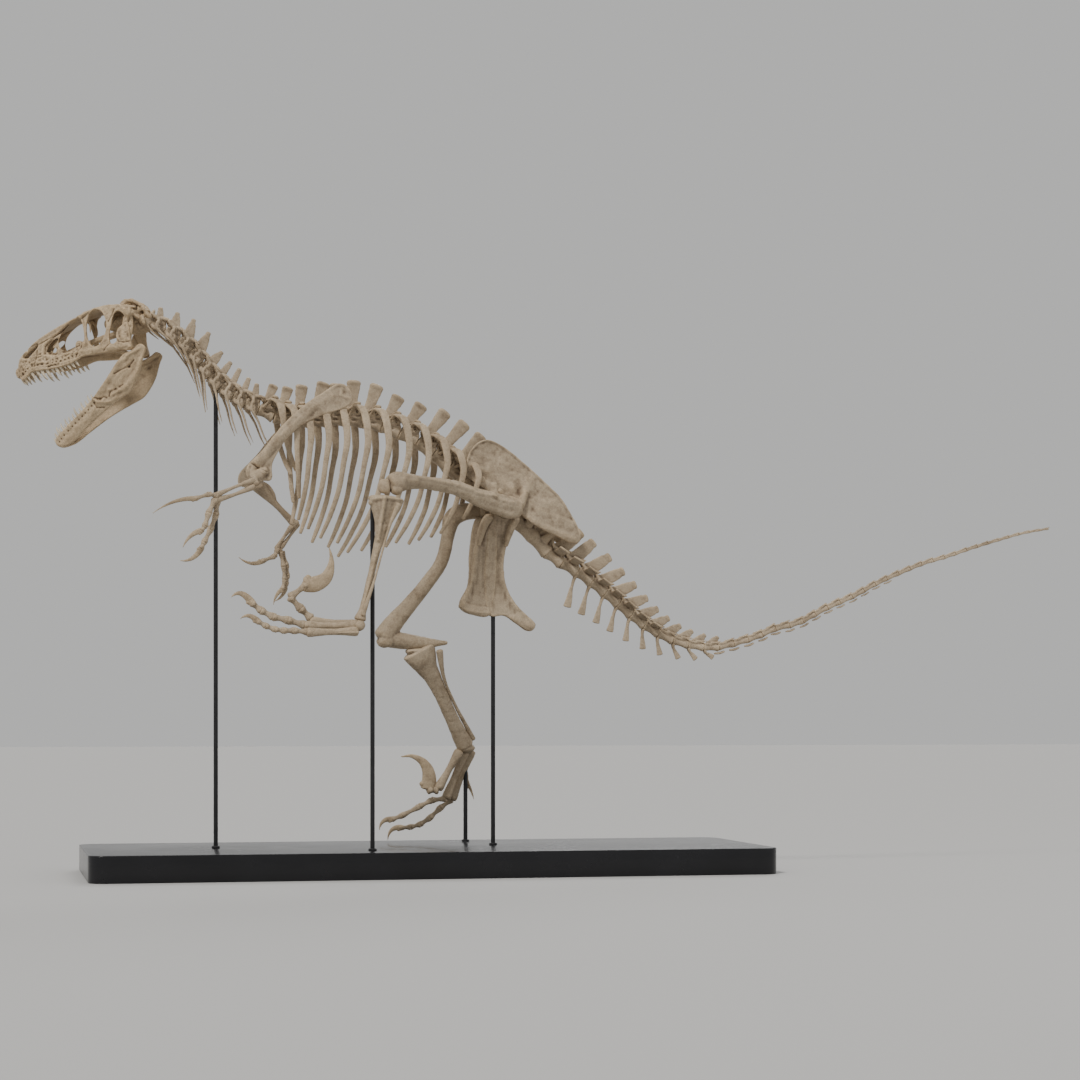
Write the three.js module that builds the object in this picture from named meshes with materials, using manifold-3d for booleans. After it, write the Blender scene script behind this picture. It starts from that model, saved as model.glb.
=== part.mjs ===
// Mounted skeleton of a large dromaeosaurid, life size, on its slab and rods.
// Millimetres. X runs along the slab toward the tail, Z is up, the animal's left side is at -Y.
// The origin is the centre of the slab's underside.
import * as THREE from 'three';
import { mergeVertices } from 'three/addons/utils/BufferGeometryUtils.js';
import Module from 'manifold-3d';

const wasm = await Module();
wasm.setup();
const { Manifold } = wasm;

// Driving dimensions of the stand
const BASE = { length: 2500, width: 860, height: 97, corner: 60, bevel: 4 };
const ROD_RADIUS = 8;
const ROD_SIDES = 12;
const GAP = 0.3;
const LEFT = -1;
const RIGHT = 1;

// Driving dimensions of the backbone: the line of the centra, from the head to the tail's tip
const SPINE_LINE = [
  [-1020, 2012], [-957, 1982], [-893, 1934], [-838, 1874], [-790, 1814], [-733, 1764], [-674, 1728],
  [-615, 1704], [-560, 1680], [-500, 1666], [-400, 1668], [-300, 1674], [-200, 1664], [-110, 1638],
  [-30, 1600], [45, 1546], [120, 1484], [174, 1440], [250, 1385], [330, 1325], [410, 1258],
  [484, 1185], [603, 1113], [714, 1030], [826, 940], [900, 895], [960, 868], [1030, 850],
  [1085, 843], [1132, 843], [1212, 860], [1292, 884], [1369, 915], [1465, 941], [1579, 998],
  [1689, 1046], [1783, 1095], [1878, 1137], [1981, 1177], [2068, 1202], [2168, 1235], [2277, 1268],
  [2390, 1299], [2505, 1320],
];
const NECK = { from: [-1012, 2008], to: [-618, 1705], count: 9, growth: 0.86 };
const BACK = { from: [-618, 1705], to: [152, 1459], count: 12, growth: 1.25 };
const SACRUM = { from: [152, 1459], to: [470, 1200], count: 5, growth: 1 };
const TAIL = { from: [470, 1200], to: [2500, 1319], count: 40, growth: 0.62 };
const TAIL_LENGTHS = [5, 5, 7, 10, 13];
const SLENDER_RADIUS = 17;

// The head turns on the condyle behind the skull
const HEAD = { condyle: [-1000, 0, 1998], pitch: 15, gape: 34.5, yaw: 21, back: 70, rise: 87,
  stretch: 1.045 };

const bone = new THREE.MeshStandardMaterial({ color: 0xcbbb9c, roughness: 0.72, metalness: 0 });
const toothBone = new THREE.MeshStandardMaterial({ color: 0xd8ccb2, roughness: 0.5, metalness: 0 });
const blackGloss = new THREE.MeshStandardMaterial({ color: 0x08080a, roughness: 0.18, metalness: 0 });
const blackRod = new THREE.MeshStandardMaterial({ color: 0x121214, roughness: 0.4, metalness: 0.2 });

const part = new THREE.Group();
const X_AXIS = new THREE.Vector3(1, 0, 0);
const Y_AXIS = new THREE.Vector3(0, 1, 0);
const Z_AXIS = new THREE.Vector3(0, 0, 1);

const vec = (x, y, z) => new THREE.Vector3(x, y, z);
const radians = (degrees) => THREE.MathUtils.degToRad(degrees);
const mix = (a, b, t) => a + (b - a) * t;

// Solids from geometry, and back

function solidOf(geometry) {
  geometry.deleteAttribute('normal');
  geometry.deleteAttribute('uv');
  const merged = mergeVertices(geometry, 1e-4);
  return new Manifold(new wasm.Mesh({
    numProp: 3,
    vertProperties: new Float32Array(merged.attributes.position.array),
    triVerts: new Uint32Array(merged.index.array),
  }));
}

function largest(solid) {
  const pieces = solid.decompose();
  return pieces.reduce((best, piece) => (piece.volume() > best.volume() ? piece : best));
}

function joined(pieces) {
  return Manifold.union(pieces);
}

// Moves every face of a solid outward, for cuts that leave a gap round it
function grown(solid, by = GAP) {
  const mesh = solid.getMesh();
  const place = mesh.vertProperties;
  const corners = mesh.triVerts;
  const count = place.length / 3;
  const normals = Array.from({ length: count }, () => vec(0, 0, 0));
  const faces = Array.from({ length: count }, () => []);
  const at = (i) => vec(place[3 * i], place[3 * i + 1], place[3 * i + 2]);
  for (let k = 0; k < corners.length; k += 3) {
    const ids = [corners[k], corners[k + 1], corners[k + 2]];
    const [a, b, c] = ids.map(at);
    const normal = b.clone().sub(a).cross(c.clone().sub(a));
    if (normal.length() < 1e-3) continue;
    normal.normalize();
    const points = [a, b, c];
    ids.forEach((id, j) => {
      const one = points[(j + 1) % 3].clone().sub(points[j]);
      const two = points[(j + 2) % 3].clone().sub(points[j]);
      normals[id].addScaledVector(normal, one.angleTo(two));
      faces[id].push(normal);
    });
  }
  const moved = new Float32Array(place);
  normals.forEach((normal, i) => {
    if (normal.length() < 1e-6) return;
    normal.normalize();
    const flattest = faces[i].reduce((least, face) => Math.min(least, face.dot(normal)), 1);
    const push = by / Math.max(flattest, 0.4);
    moved[3 * i] += normal.x * push;
    moved[3 * i + 1] += normal.y * push;
    moved[3 * i + 2] += normal.z * push;
  });
  return new Manifold(new wasm.Mesh({ numProp: 3, vertProperties: moved, triVerts: corners }));
}

function clearOf(solid, others) {
  return others.reduce((rest, other) => rest.subtract(grown(other)), solid);
}

function addNode(name, solid, material = bone) {
  const mesh = largest(solid).getMesh();
  const geometry = new THREE.BufferGeometry();
  geometry.setAttribute('position', new THREE.BufferAttribute(mesh.vertProperties, 3));
  geometry.setIndex(new THREE.BufferAttribute(mesh.triVerts, 1));
  geometry.computeVertexNormals();
  const node = new THREE.Mesh(geometry, material);
  node.name = name;
  part.add(node);
  return solid;
}

// Shapes: a loft is a row of oval or square sections along a smooth line

function sampled(values, steps) {
  const curve = new THREE.CatmullRomCurve3(values, false, 'centripetal');
  const last = values.length - 1;
  if (steps === last) return values.map((value) => value.clone());
  return Array.from({ length: steps + 1 }, (_, i) => curve.getPoint(i / steps));
}

// Closes a row of rings into a solid, with a pole at each end
function skin(rings, first, end) {
  const sides = rings[0].length;
  const steps = rings.length - 1;
  const positions = [...rings.flat(), first, end].flatMap((point) => point.toArray());
  const firstPole = rings.length * sides;
  const endPole = firstPole + 1;
  const index = [];
  for (let j = 0; j < sides; j += 1) {
    const next = (j + 1) % sides;
    for (let i = 0; i < steps; i += 1) {
      const a = i * sides + j;
      const b = i * sides + next;
      index.push(a, b, b + sides, a, b + sides, a + sides);
    }
    index.push(firstPole, next, j);
    index.push(endPole, steps * sides + j, steps * sides + next);
  }
  const geometry = new THREE.BufferGeometry();
  geometry.setAttribute('position', new THREE.Float32BufferAttribute(positions, 3));
  geometry.setIndex(index);
  return solidOf(geometry);
}

// Each station is [x, y, z, half width, half height]; the height points toward `up`
function loft(stations, { sides = 8, steps = stations.length - 1, up = Z_AXIS, cap = 0.35,
  square = false } = {}) {
  const centres = sampled(stations.map(([x, y, z]) => vec(x, y, z)), steps);
  const sizes = centres.map((_, i) => {
    const t = (i / steps) * (stations.length - 1);
    const k = Math.min(Math.floor(t), stations.length - 2);
    return [mix(stations[k][3], stations[k + 1][3], t - k), mix(stations[k][4], stations[k + 1][4], t - k)];
  });
  const turn = square ? Math.PI / sides : 0;
  const reach = square ? 1 / Math.cos(Math.PI / sides) : 1;
  const ways = centres.map((_, i) => {
    const ahead = centres[Math.min(i + 1, steps)];
    const behind = centres[Math.max(i - 1, 0)];
    return ahead.clone().sub(behind).normalize();
  });
  const rings = centres.map((centre, i) => {
    const side = up.clone().cross(ways[i]).normalize();
    const top = ways[i].clone().cross(side);
    return Array.from({ length: sides }, (_, j) => {
      const angle = turn + (j / sides) * 2 * Math.PI;
      return centre.clone()
        .addScaledVector(side, sizes[i][0] * reach * Math.cos(angle))
        .addScaledVector(top, sizes[i][1] * reach * Math.sin(angle));
    });
  });
  const bulge = (i) => cap * Math.min(sizes[i][0], sizes[i][1]);
  const first = centres[0].clone().addScaledVector(ways[0], -bulge(0));
  const end = centres[steps].clone().addScaledVector(ways[steps], bulge(steps));
  return skin(rings, first, end);
}

// A flat plate: outline in the X-Z plane, thickness along Y, then each corner moved by `bend`
function plate(outline, { thickness = 14, holes = [], bevel = 3, bend = () => {} } = {}) {
  const shape = new THREE.Shape(outline.map(([x, z]) => new THREE.Vector2(x, z)));
  shape.holes = holes.map((hole) => new THREE.Path(hole.map(([x, z]) => new THREE.Vector2(x, z))));
  const geometry = new THREE.ExtrudeGeometry(shape, {
    depth: thickness - 2 * bevel,
    bevelEnabled: bevel > 0,
    bevelSize: bevel,
    bevelOffset: -bevel,
    bevelThickness: bevel,
    bevelSegments: 1,
    curveSegments: 1,
  });
  geometry.translate(0, 0, bevel - thickness / 2);
  geometry.rotateX(Math.PI / 2);
  geometry.deleteAttribute('normal');
  geometry.deleteAttribute('uv');
  const merged = mergeVertices(geometry, 1e-4);
  const place = merged.attributes.position;
  const point = vec(0, 0, 0);
  for (let i = 0; i < place.count; i += 1) {
    point.fromBufferAttribute(place, i);
    bend(point);
    place.setXYZ(i, point.x, point.y, point.z);
  }
  return solidOf(merged);
}

function ball([x, y, z], rx, ry = rx, rz = rx, around = 6, down = 4) {
  const geometry = new THREE.SphereGeometry(1, around, down);
  geometry.rotateX(Math.PI / 2);
  geometry.scale(rx, ry, rz);
  geometry.translate(x, y, z);
  return solidOf(geometry);
}

// A long bone with swollen ends between two points
function shaft(a, b, end, waist, { sides = 6, up = Z_AXIS, flat = 1 } = {}) {
  const middle = a.map((value, i) => (value + b[i]) / 2);
  return loft([[...a, end, end * flat], [...middle, waist, waist * flat], [...b, end, end * flat]],
    { sides, up });
}

// Sections of a curved claw, flattened from side to side, from its root to its tip
function clawStations(root, bow, tip, size, flat = 0.42, steps = 5) {
  const curve = new THREE.QuadraticBezierCurve3(vec(...root), vec(...bow), vec(...tip));
  return Array.from({ length: steps }, (_, i) => {
    const t = (i + 1) / steps;
    const deep = Math.max(size * (1 - t ** 1.4), 0.8);
    return [...curve.getPoint(t).toArray(), deep, Math.max(deep * flat, 0.6)];
  });
}

// Places along the backbone

const spineCurve = new THREE.CatmullRomCurve3(SPINE_LINE.map(([x, z]) => vec(x, 0, z)), false,
  'centripetal');
spineCurve.arcLengthDivisions = 800;
const spineLength = spineCurve.getLength();

function lengthAt([x, z]) {
  const target = vec(x, 0, z);
  const tries = 1600;
  let best = 0;
  let nearest = Infinity;
  for (let i = 0; i <= tries; i += 1) {
    const distance = spineCurve.getPointAt(i / tries).distanceTo(target);
    if (distance < nearest) {
      nearest = distance;
      best = i / tries;
    }
  }
  return best * spineLength;
}

// One frame for each vertebra: centre, direction toward the tail, upward normal and length
function stationsOf({ from, to, count, growth }) {
  const start = lengthAt(from);
  const whole = lengthAt(to) - start;
  const weights = Array.from({ length: count }, (_, i) => mix(1, growth, i / (count - 1)));
  const sum = weights.reduce((total, weight) => total + weight, 0);
  let run = start;
  return weights.map((weight, i) => {
    const length = (whole * weight) / sum;
    const t = (run + length / 2) / spineLength;
    run += length;
    const along = spineCurve.getTangentAt(t);
    const centre = spineCurve.getPointAt(t);
    const up = vec(-along.z, 0, along.x);
    return { i, at: centre, along, up, length, s: i / (count - 1) };
  });
}

function placed({ at, along, up }, forwardToTail, side, height) {
  return at.clone().addScaledVector(along, forwardToTail).addScaledVector(up,
    height).add(vec(0, side, 0)).toArray();
}

// The centra and their arches as one row of sections: pinched at each joint, full at each middle
function column(frames, sizesOf) {
  const keyhole = ({ radius, archWidth, archHeight }) => [
    [radius, radius * 0.1], [radius * 0.62, radius * 0.85], [archWidth, archHeight],
      [-archWidth, archHeight],
    [-radius * 0.62, radius * 0.85], [-radius, radius * 0.1], [-radius * 0.6, -radius * 0.9],
    [radius * 0.6, -radius * 0.9],
  ];
  const slender = ({ radius, archWidth, archHeight }) => [
    [radius, 0], [archWidth, archHeight], [-archWidth, archHeight], [-radius, 0], [0, -radius],
  ];
  const profile = sizesOf(frames[0]).radius > SLENDER_RADIUS ? keyhole : slender;
  const ring = (frame, along, sizes) => profile(sizes).map(([side, height]) => (
    vec(...placed(frame, along, side, height))
  ));
  const rings = [];
  const joint = (frame, along) => {
    const { radius, archWidth, archHeight } = sizesOf(frame);
    rings.push(ring(frame, along, { radius, archWidth: archWidth * 0.5,
      archHeight: mix(radius, archHeight, 0.45) }));
  };
  frames.forEach((frame) => {
    joint(frame, -frame.length / 2);
    const sizes = sizesOf(frame);
    rings.push(ring(frame, 0, { ...sizes, radius: sizes.radius * 0.78 }));
  });
  const last = frames[frames.length - 1];
  joint(last, last.length / 2);
  const first = frames[0];
  return skin(rings, vec(...placed(first, -first.length / 2, 0, 0)),
    vec(...placed(last, last.length / 2, 0, 0)));
}

function neuralSpine(frame, { base, length, lean, wide, top, thick, shift = 0 }) {
  const tilt = radians(lean);
  const reach = (t) => placed(frame, shift + Math.sin(tilt) * length * t, 0,
    base + Math.cos(tilt) * length * t);
  return loft([
    [...reach(-0.2), thick * 0.55, wide * 0.5],
    [...reach(0.94), thick * 0.5, top * 0.5],
  ], { sides: 4, up: frame.along, square: true, cap: 0.5 });
}

function process(frame, side, { root, span, height, rise, sweep, wide, thick }) {
  return loft([
    [...placed(frame, 0, side * root, height), wide * 0.6, thick],
    [...placed(frame, sweep, side * span, height + rise), wide * 0.4, thick * 0.7],
  ], { sides: 4, up: frame.up, square: true });
}

// Base and rods

function baseSolid() {
  const { length, width, height, corner, bevel } = BASE;
  const shape = new THREE.Shape();
  const x = length / 2;
  const y = width / 2;
  shape.moveTo(corner - x, -y);
  shape.lineTo(x - corner, -y);
  shape.absarc(x - corner, corner - y, corner, -Math.PI / 2, 0);
  shape.absarc(x - corner, y - corner, corner, 0, Math.PI / 2);
  shape.absarc(corner - x, y - corner, corner, Math.PI / 2, Math.PI);
  shape.absarc(corner - x, corner - y, corner, Math.PI, Math.PI * 1.5);
  const slab = new THREE.ExtrudeGeometry(shape, {
    depth: height - 2 * bevel,
    bevelSize: bevel,
    bevelOffset: -bevel,
    bevelThickness: bevel,
    bevelSegments: 1,
    curveSegments: 4,
  });
  slab.translate(0, 0, bevel);
  return solidOf(slab);
}

function rodSolid([x, y], top) {
  const bottom = BASE.height + GAP;
  const rod = new THREE.CylinderGeometry(ROD_RADIUS, ROD_RADIUS, top - bottom, ROD_SIDES);
  rod.rotateX(Math.PI / 2);
  rod.translate(x, y, (top + bottom) / 2);
  return solidOf(rod);
}

// Skull: built with its own axes, -X forward along the tooth row, Z up, origin at the jaw joints' middle

const headRadians = { pitch: radians(HEAD.pitch), gape: radians(HEAD.gape), yaw: radians(HEAD.yaw) };
const headMatrix = new THREE.Matrix4().makeTranslation(...HEAD.condyle)
  .multiply(new THREE.Matrix4().makeRotationZ(-headRadians.yaw))
  .multiply(new THREE.Matrix4().makeRotationY(-headRadians.pitch))
  .multiply(new THREE.Matrix4().makeScale(HEAD.stretch, 1, 1))
  .multiply(new THREE.Matrix4().makeTranslation(-HEAD.back, 0, -HEAD.rise));
const jawMatrix = headMatrix.clone().multiply(new THREE.Matrix4().makeRotationY(-headRadians.gape));

const SKULL_OUTLINE = [
  [431, 30], [397, 42], [355, 45], [303, 37], [247, 38], [182, 41], [138, 22], [98, 29], [40, 18], [9, 4],
  [-6, 8], [-8, 45], [-12, 84], [-8, 112], [-26, 140], [-22, 168], [10, 184], [54, 196], [87, 200],
  [150, 198], [169, 192], [221, 183], [276, 170], [335, 154], [393, 126], [428, 94], [435, 50],
];
const NARIS = [[400, 108], [371, 127], [341, 136], [362, 117], [391, 101]];
const ANTORBITAL = [
  [262, 108], [242, 130], [205, 158], [168, 170], [166, 130], [170, 100], [203, 98], [214, 84], [252, 81],
    [264, 95],
];
const ORBIT = [[134, 168], [95, 186], [84, 170], [84, 140], [102, 99], [118, 73], [150, 69], [162, 85],
  [148, 131]];
const LATERAL = [[24, 155], [14, 122], [48, 95], [62, 74], [58, 54], [84, 58], [80, 84], [56, 128]];

const SKULL_WIDTHS = [[445, 10], [400, 26], [300, 44], [200, 62], [120, 84], [50, 100], [-30, 104]];

function widthAt(forward, table) {
  for (let i = 1; i < table.length; i += 1) {
    if (forward >= table[i][0]) {
      const [a, wide] = table[i - 1];
      const [b, narrow] = table[i];
      return mix(wide, narrow, THREE.MathUtils.clamp((forward - a) / (b - a), 0, 1));
    }
  }
  return table[table.length - 1][1];
}

// The skull's side leans in toward the roof
function skullSide(forward, height) {
  const lean = THREE.MathUtils.clamp((height - 40) / 160, 0, 1);
  const roof = forward > 150 ? 0.5 : 0.42;
  return widthAt(forward, SKULL_WIDTHS) * (1 - roof * lean);
}

function skullWall(side) {
  const mirrored = (points) => points.map(([f, u]) => [-f, u]);
  return plate(mirrored(SKULL_OUTLINE), {
    thickness: 13,
    bevel: 0,
    holes: [NARIS, ANTORBITAL, ORBIT, LATERAL].map(mirrored),
    bend: (p) => { p.y += side * skullSide(-p.x, p.z); },
  });
}

function skullRow(points, options) {
  return loft(points.map(([f, y, u, w, h]) => [-f, y, u, w, h]), options);
}

function skullRoof() {
  const line = [[432, 78], [393, 118], [335, 143], [221, 173], [169, 184], [87, 193], [0, 176], [-40, 158]];
  return skullRow(line.map(([f, u]) => [f, 0, u, skullSide(f, u), 4]), { sides: 4, square: true });
}

function skullPalate() {
  const line = [[425, 48], [350, 62], [250, 62], [150, 58], [60, 60], [0, 66]];
  return skullRow(line.map(([f, u]) => [f, 0, u, skullSide(f, u) - 2, 3]), { sides: 4, square: true });
}

function braincase() {
  const core = skullRow([
    [70, 0, 130, 30, 24], [20, 0, 118, 40, 34], [-40, 0, 100, 44, 42], [-62, 0, 96, 30, 32],
  ], { sides: 6 });
  const condyle = skullRow([[-50, 0, 88, 14, 14], [-HEAD.back - 8, 0, HEAD.rise, 13, 13]], { sides: 6 });
  const crest = skullRow([
    [22, 0, 186, 30, 8], [-14, 0, 194, 40, 12], [-44, 0, 178, 36, 14], [-62, 0, 150, 26, 16],
  ], { sides: 6 });
  const wings = [LEFT, RIGHT].map((side) => skullRow([
    [-40, side * 20, 118, 14, 20], [-66, side * 98, 92, 6, 14],
  ], { sides: 4, up: Z_AXIS }));
  const struts = [LEFT, RIGHT].map((side) => skullRow([
    [-18, side * 92, 130, 10, 22], [-36, side * 40, 122, 12, 24],
  ], { sides: 4, up: Z_AXIS }));
  return [core, condyle, crest, ...wings, ...struts];
}

// A row of curved teeth along a jaw: size swells and shrinks along the row
function teeth(side, { count, from, to, widths, height, length, up }) {
  return Array.from({ length: count }, (_, i) => {
    const t = i / (count - 1);
    const f = mix(from, to, t);
    const y = side * (widthAt(f, widths) - (up ? 2 : 0));
    const long = length * (0.72 + 0.5 * Math.sin(Math.PI * (0.15 + 0.7 * t)) + (i % 3 === 1 ? 0.16 : -0.06));
    const edge = height(f);
    const point = up ? 1 : -1;
    const radius = 4.2;
    return skullRow([[f, y, edge - point * 6, radius * 0.8, radius],
      [f - 7, y, edge + point * long, 0.6, 0.7]], {
      sides: 4, up: X_AXIS,
    });
  });
}

function upperEdge(f) {
  return f > 355 ? mix(45, 31, (f - 355) / 80) : 38;
}

function skullSolid() {
  const row = { count: 12, from: 425, to: 196, widths: SKULL_WIDTHS, height: upperEdge, length: 22,
    up: false };
  const pieces = [skullRoof(), skullPalate(), ...braincase()];
  [LEFT, RIGHT].forEach((side) => pieces.push(skullWall(side), ...teeth(side, row)));
  return joined(pieces).transform(headMatrix.elements);
}

const JAW_OUTLINE = [
  [-38, -6], [0, 2], [24, 15], [60, 17], [100, 14], [139, 11], [180, 10], [224, 11], [262, 14], [313, 21],
  [360, 28], [398, 33], [424, 31], [436, 20], [434, 2], [416, -13], [388, -26], [330, -34], [258, -46],
  [205, -59], [165, -71], [115, -86], [73, -80], [30, -66], [3, -52], [-14, -44], [-40, -32],
];
const JAW_WIDTHS = [[440, 7], [402, 16], [330, 34], [245, 54], [150, 80], [60, 97], [-40, 102]];

function jawEdge(f) {
  return f > 250 ? mix(12, 33, Math.min((f - 250) / 148, 1)) : 12;
}

function jawSolid(side) {
  const mirrored = (points) => points.map(([f, u]) => [-f, u]);
  const ramus = plate(mirrored(JAW_OUTLINE), {
    thickness: 15,
    bevel: 0,
    bend: (p) => { p.y += side * widthAt(-p.x, JAW_WIDTHS); },
  });
  const row = { count: 11, from: 420, to: 222, widths: JAW_WIDTHS, height: jawEdge, length: 21, up: true };
  return halfOf(joined([ramus, ...teeth(side, row)]), side).transform(jawMatrix.elements);
}

// Neck

const NECK_LEANS = [-22, -23, -26, -22, -9, -7, -10, -7, -12];
const NECK_REACHES = [72, 86, 104, 106, 94, 96, 101, 92, 88];
const NECK_WIDTHS = [36, 50, 54, 56, 50, 38, 34, 34, 36];
const neckSizes = ({ s }) => ({ radius: mix(19, 25, s), archWidth: mix(17, 21, s),
  archHeight: mix(38, 46, s) });

function cervical(frame) {
  const s = frame.s;
  const { radius } = neckSizes(frame);
  const dive = radians(mix(14, 40, s));
  const long = mix(120, 155, s);
  const outer = mix(36, 46, s);
  const ribs = [LEFT, RIGHT].map((side) => loft([
    [...placed(frame, -8, side * 8, 26), 10, 7],
    [...placed(frame, 0, side * outer, 14), 9, 7],
    [...placed(frame, 6, side * outer, -radius * 0.8), 8, 7],
    [...placed(frame, Math.cos(dive) * long, side * outer * 0.9, -radius - Math.sin(dive) * long), 2.5, 3],
  ], { sides: 4, up: frame.along }));
  return [
    neuralSpine(frame, {
      base: 20, length: NECK_REACHES[frame.i] - 20, lean: NECK_LEANS[frame.i],
        shift: (34 - NECK_WIDTHS[frame.i]) / 2,
      wide: NECK_WIDTHS[frame.i], top: 20, thick: 12,
    }),
    ...ribs,
  ];
}

function neckPart(frames) {
  return [column(frames, neckSizes), ...frames.flatMap(cervical)];
}

function atlasSolid() {
  const frame = stationsOf(NECK)[0];
  const front = { ...frame, at: vec(...placed(frame, -frame.length / 2 - 8, 0, 0)) };
  return [
    loft([[...placed(front, -6, 0, 0), 22, 22], [...placed(front, 12, 0, 0), 22, 22]],
      { sides: 8, up: front.up }),
    loft([[...placed(front, 0, 0, 22), 22, 9], [...placed(front, 6, 0, 42), 16, 8]],
      { sides: 4, up: front.along, square: true }),
  ];
}

// Back and ribs

const RIB_DROPS = [265, 350, 425, 462, 500, 516, 540, 496, 450, 395, 320, 215];
const RIB_WIDTHS = [98, 118, 134, 146, 154, 158, 160, 158, 152, 142, 130, 118];
const RIB_SWEEPS = [-40, -14, 22, 42, 56, 66, 92, 84, 72, 62, 48, 30];
const BACK_LEANS = [-3, 3, 8, 18, 10, 0, 8, 9, 8, 2, 2, 2];
const BACK_REACHES = [58, 72, 86, 98, 100, 100, 98, 80, 86, 110, 122, 128];
const BACK_SHIFTS = [-14, -10, 0, 0, 0, -8, -22, -22, -20, -20, -22, -22];

const backSizes = ({ s }) => ({ radius: mix(25, 31, s), archWidth: 20, archHeight: 50 });

function dorsal(frame) {
  const grow = Math.min(1, frame.s * 3);
  return [
    neuralSpine(frame, {
      base: 48, length: BACK_REACHES[frame.i], lean: BACK_LEANS[frame.i], shift: BACK_SHIFTS[frame.i],
      wide: 36, top: mix(34, 50, grow), thick: 15,
    }),
    rib(frame, LEFT),
    rib(frame, RIGHT),
  ];
}

function rib(frame, side) {
  const drop = RIB_DROPS[frame.i];
  const wide = RIB_WIDTHS[frame.i];
  const sweep = RIB_SWEEPS[frame.i];
  const top = vec(...placed(frame, 2, 0, 56));
  const down = (x, y, fall, w, h) => [top.x + x, side * y, top.z - fall, w, h];
  return loft([
    [...placed(frame, -2, side * 6, 40), 9, 13],
    [...placed(frame, 0, side * 60, 54), 9, 13],
    down(14, wide * 0.78, drop * 0.08, 8, 13),
    down(26, wide * 0.98, drop * 0.28, 7, 12),
    down(22 - sweep * 0.5, wide * 0.97, drop * 0.66, 6, 11),
    down(16 - sweep * 1.5, wide * 0.76, drop, 5, 8),
  ], { sides: 4, up: X_AXIS });
}

// Keeps what lies on one side of the animal's middle, half a gap away from it
function halfOf(solid, side) {
  const reach = 4000;
  const box = new THREE.BoxGeometry(2 * reach, reach, 2 * reach);
  box.translate(0, side * (reach + GAP) / 2, 0);
  return solid.intersect(solidOf(box));
}

// Sacrum and hips

function sacrumSolid(frames) {
  const sizes = () => ({ radius: 30, archWidth: 19, archHeight: 54 });
  const heights = [175, 168, 150, 128, 102];
  const blade = loft(frames.flatMap((frame, i) => {
    const low = placed(frame, 0, 0, mix(30, heights[i], 0.5));
    return [[...low, 6, (heights[i] - 30) / 2]];
  }), { sides: 4, square: true, up: frames[2].up });
  const ribs = [frames[0], frames[2], frames[4]].flatMap((frame) => [LEFT, RIGHT].map((side) => (
    process(frame, side, { root: 8, span: 82, height: 22, rise: 18, sweep: 0, wide: 34, thick: 12 })
  )));
  return joined([column(frames, sizes), blade, ...ribs]);
}

const ILIUM_OUTLINE = [
  [139, 1481], [142, 1522], [158, 1562], [186, 1594], [222, 1608], [262, 1598], [321, 1560], [371, 1520],
  [447, 1454], [505, 1400], [543, 1346], [578, 1286], [588, 1256], [576, 1232], [548, 1230], [486, 1261],
  [422, 1284], [378, 1304], [360, 1326], [356, 1372], [334, 1402], [302, 1406], [274, 1388], [264, 1332],
  [232, 1334], [232, 1396], [215, 1425], [176, 1446],
];

function hipLine(x, z) {
  const flare = THREE.MathUtils.clamp((260 - x) / 120, 0, 1);
  const low = THREE.MathUtils.clamp((1460 - z) / 120, 0, 1);
  const rear = THREE.MathUtils.clamp((x - 400) / 180, 0, 1);
  return 66 + 16 * flare + 18 * low * (1 - rear) - 14 * rear;
}

function iliumSolid(side) {
  const blade = plate(ILIUM_OUTLINE,
    { thickness: 15, bevel: 0, bend: (p) => { p.y += side * hipLine(p.x, p.z); } });
  const ridge = loft([
    [312, side * 88, 1410, 12, 14], [352, side * 92, 1394, 14, 16], [372, side * 90, 1340, 14, 16],
      [370, side * 86, 1308, 12, 14],
  ], { sides: 6, up: Y_AXIS });
  return joined([blade, ridge]);
}

const PUBIS_OUTLINE = [
  [246, 1328], [214, 1326], [196, 1290], [184, 1230], [176, 1170], [173, 1110], [164, 1062], [136, 1012],
  [134, 990], [150, 970], [186, 959], [246, 957],
];
const ISCHIUM_OUTLINE = [
  [246.3, 957], [304, 956], [346, 930], [392, 900], [412, 902], [423, 925], [386, 962], [350, 998],
    [322, 1040],
  [302, 1090], [296, 1158], [306, 1230], [324, 1290], [346, 1322], [330, 1330], [290, 1316], [246.3, 1328],
];

function lowerHipLine(z) {
  const drop = THREE.MathUtils.clamp((1330 - z) / 290, 0, 1);
  return mix(84, 8.15, drop ** 0.8);
}

function pubisSolid(side) {
  const blade = plate(PUBIS_OUTLINE,
    { thickness: 16, bevel: 0, bend: (p) => { p.y += side * lowerHipLine(p.z); } });
  const ridge = loft([[208, 1300], [192, 1210], [184, 1120], [172, 1050]].map(([x, z], i) => (
    [x, side * (lowerHipLine(z) + 4), z, [14, 12, 11, 9][i], 12]
  )), { sides: 6, up: X_AXIS });
  return halfOf(joined([blade, ridge]), side);
}

function ischiumSolid(side) {
  const blade = plate(ISCHIUM_OUTLINE,
    { thickness: 16, bevel: 0, bend: (p) => { p.y += side * lowerHipLine(p.z); } });
  const ridge = loft([[322, 1300], [294, 1220], [284, 1150], [292, 1080], [318, 1026]].map(([x, z], i) => (
    [x, side * (lowerHipLine(z) + 4), z, [14, 12, 11, 10, 8][i], 11]
  )), { sides: 6, up: X_AXIS });
  return halfOf(joined([blade, ridge]), side);
}

// Tail

const tailFrames = stationsOf(TAIL);
const SPINED = 12;

function tailRadius(s) {
  return s < 0.3 ? mix(27, 15, s / 0.3) : mix(15, 4.5, (s - 0.3) / 0.7);
}

const tailSizes = ({ i, s }) => {
  const radius = tailRadius(s);
  const rise = Math.max(0, 1 - i / SPINED);
  return { radius, archWidth: radius * 0.55, archHeight: radius * mix(1.15, 1.6, rise) };
};

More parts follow.
